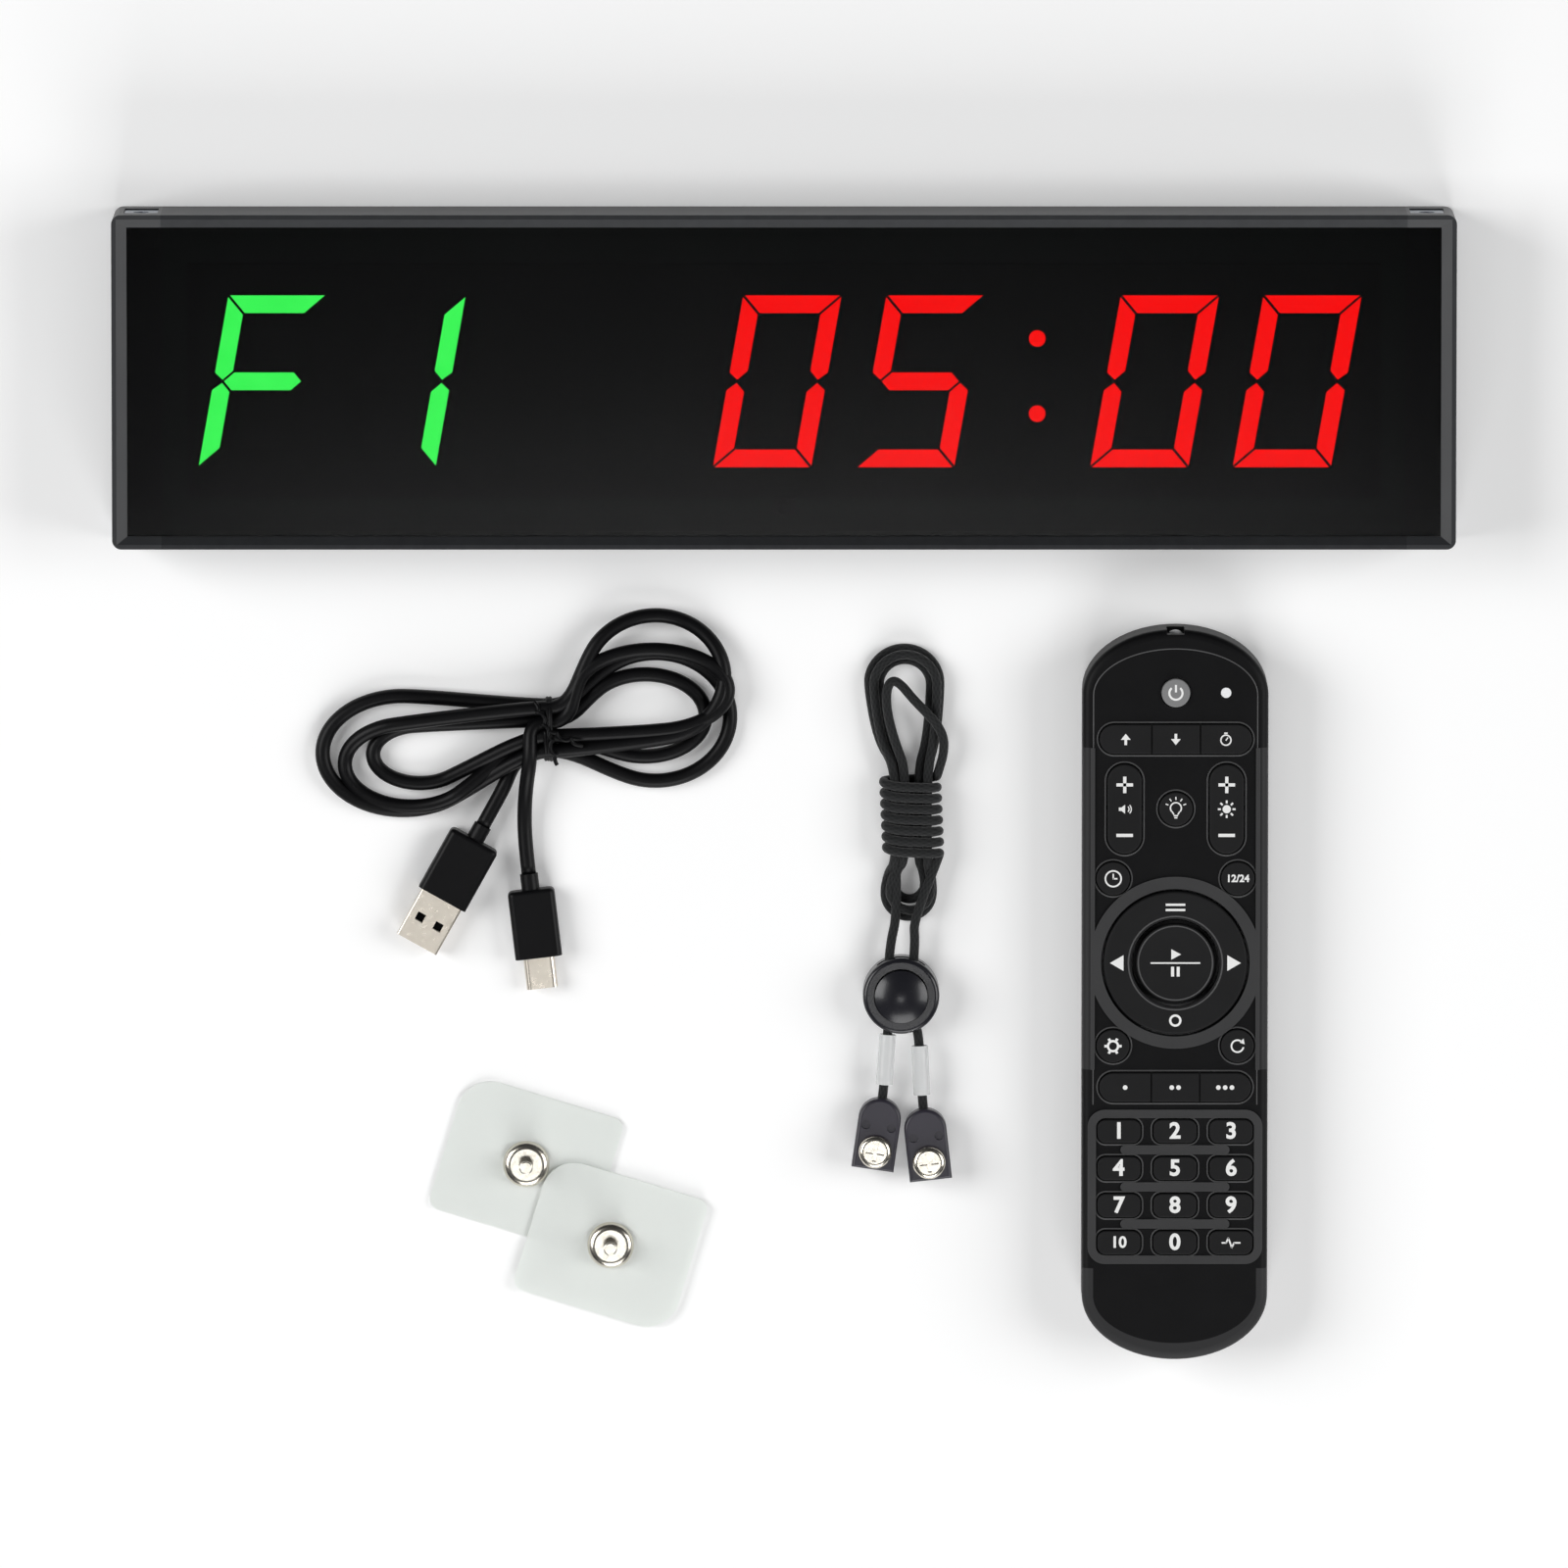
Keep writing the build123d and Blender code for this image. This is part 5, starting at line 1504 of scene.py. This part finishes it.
def startMark(mark, x, y):
    # a running arrow over a line, and a standing square under it
    mark.area([(x - 1.1, y + 0.9), (x + 1.5, y + 2.3), (x - 1.1, y + 3.7)])
    mark.bar(x, y, 13.2, 0.4)
    mark.bar(x - 0.75, y - 2.3, 0.8, 2.6)
    mark.bar(x + 0.75, y - 2.3, 0.8, 2.6)


def printOn(body, draw):
    place = middleOf(body)
    mark = Stencil((place.x, place.y, topOf(body)))
    draw(mark)
    return meshPiece(body + "_print", mark.build, body, "light_lens", whitePrint)


def printStrip(mark, marks):
    for step, draw in enumerate(marks):
        draw(mark, (step - 1) * remote["stripPitch"], 0)


def dots(count):
    def draw(mark, x, y):
        for step in range(count):
            mark.disc(x + (step - (count - 1) / 2) * 1.8, y, 0.62)
    return draw


numberRows = {
    "number_row_1": ("1", "2", "3"),
    "number_row_2": ("4", "5", "6"),
    "number_row_3": ("7", "8", "9"),
    "number_row_4": ("10", "0", None),
}


def printNumbers():
    for body, figures in numberRows.items():
        def draw(mark, figures=figures):
            for column, figure in enumerate(figures):
                x = (column - 1) * remote["numberPitch"]
                if figure is None:
                    pulseMark(mark, x, 0)
                else:
                    size = remote["oneFigure"] if len(figure) == 1 else remote["twoFigures"]
                    mark.text(figure, x, 0.05, size)
        printOn(body, draw)


def printRemote():
    printOn("power_key", lambda mark: powerMark(mark, 0, 0))
    printOn("count_keys", lambda mark: printStrip(mark, (arrowUp, arrowDown, stopwatch)))
    printOn("lamp_key", lambda mark: bulbMark(mark, 0, 0.2))
    printOn("clock_key", lambda mark: clockMark(mark, 0, 0))
    printOn("hour_format_key", lambda mark: mark.text("12/24", 0, 0, 2.7))
    printOn("set_key", lambda mark: gearMark(mark, 0, 0))
    printOn("reset_key", lambda mark: returnMark(mark, 0, 0))
    printOn("mode_keys", lambda mark: printStrip(mark, (dots(1), dots(2), dots(3))))
    printOn("start_key", lambda mark: startMark(mark, 0, 0))
    for body, draw in (("volume_rocker", speakerMark), ("brightness_rocker", sunMark)):
        def printRocker(mark, draw=draw):
            mark.bar(0, 6.5, 4.4, 0.85)
            mark.bar(0, 6.5, 0.85, 4.4)
            mark.bar(0, -7.0, 4.4, 0.85)
            draw(mark, 0, 0)
        printOn(body, printRocker)

    def printRing(mark):
        mark.area([(-17.4, 0), (-13.8, -2.1), (-13.8, 2.1)])
        mark.area([(17.4, 0), (13.8, 2.1), (13.8, -2.1)])
        mark.bar(0, 15.6, 5.2, 0.6)
        mark.bar(0, 14.2, 5.2, 0.6)
        mark.arc(0, -15.4, 1.35, 0.6, 0, 360)
    printOn("direction_ring", printRing)
    printNumbers()


dress(bpy.data.objects["power_key"], greyKey)
outlineKeys()
panelLine()
ringLines()
printRemote()
print("remote outlined and printed")


# twist tie: two turns of covered wire round the cable's waist and its twisted ends
tie = {
    "x": -62.7,
    "centre": (14.35, 5.35),
    "reach": (8.3, 4.75),
    "wire": 0.55,
    "sides": 12,
    "turnSteps": 16,
    "steps": 36,
    "spread": 1.6,
    "knotRise": 0.6,
    "endSteps": 14,
    "endTwist": 2.4,
    "endPhase": 2.1,
    "endSway": 0.75,
    "endLift": 0.5,
    "ends": ((-66.4, 21.8, 8.2), (-53.6, 10.2, 9.6), (-60.4, 5.2, 10.2)),
}


def tieTurns():
    points = []
    for step in range(tie["steps"] + 1):
        angle = 2 * math.pi * step / tie["turnSteps"]
        points.append((
            tie["x"] + tie["spread"] * (step / tie["steps"] - 0.5),
            tie["centre"][0] - tie["reach"][0] * math.sin(angle),
            tie["centre"][1] + tie["reach"][1] * math.cos(angle),
        ))
    return points


def tieEnds():
    knot = Vector((tie["x"], tie["centre"][0], tie["centre"][1] + tie["reach"][1] + tie["knotRise"]))
    for index, end in enumerate(tie["ends"]):
        points = []
        for step in range(tie["endSteps"] + 1):
            share = step / tie["endSteps"]
            twist = 2 * (tie["endTwist"] * math.pi * share + index * tie["endPhase"])
            away = math.sin(math.pi * share)
            sway = tie["endSway"] * away
            turned = Vector((sway * math.cos(twist), sway * math.sin(twist), tie["endLift"] * away))
            points.append(tuple(knot.lerp(Vector(end), share) + turned))
        yield points


def makeTie():
    runs = [tieTurns()] + list(tieEnds())
    for number, points in enumerate(runs):
        wire = tubeAlong(f"twist_tie_{number + 1}", points, tie["wire"], tie["sides"])[0]
        dress(wire, finishes["cable_rubber"])
        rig.ride(wire, "root")
        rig.slot(wire, "cable_rubber")
        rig.replaces(wire, "cable_tie")


# thin near-black plates in the two latch windows of the wide plug: the dark contact carrier that shows through them,
# with painted shade of the window hollows added on top of the carrier's own dark plastic
windowCarrierShade = {
    "reach": 29.4,
    "spread": 2.7,
    "side": 2.2,
    "height": 4.68,
    "thick": 0.06,
}


def makeWindowCarrierShade():
    start = Vector(cableLeadA[0]).xy
    onward = Vector(cableLeadA[1]).xy
    ahead = (start - onward).normalized()
    over = Vector((-ahead.y, ahead.x))
    build = bmesh.new()
    for side in (-1, 1):
        centre = (start + ahead * windowCarrierShade["reach"] + over * windowCarrierShade["spread"] * side) * mm
        corners = [
            centre + (ahead * a + over * b) * windowCarrierShade["side"] / 2 * mm
            for a, b in ((-1, -1), (1, -1), (1, 1), (-1, 1))
        ]
        sunk = (windowCarrierShade["height"] - windowCarrierShade["thick"]) * mm
        addPrism(build, corners, sunk, windowCarrierShade["height"] * mm)
    # the plates take the near-black dark-diffuser finish, darker than the plug's black plastic: painted shade in the
    # latch windows
    meshPiece("latch_window_backs", build, "root", "chip_plastic", unlit)


makeTie()
makeWindowCarrierShade()
dress(cablePiece, finishes["cable_rubber"])
dress(ropePiece, finishes["rope_braid"])
print("tie twisted, cords finished")


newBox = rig.bounds()
with open("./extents.json", "w") as sizes:
    json.dump({"cad": [list(corner) for corner in cadBox], "visual": [list(corner) for corner in newBox]}, sizes)
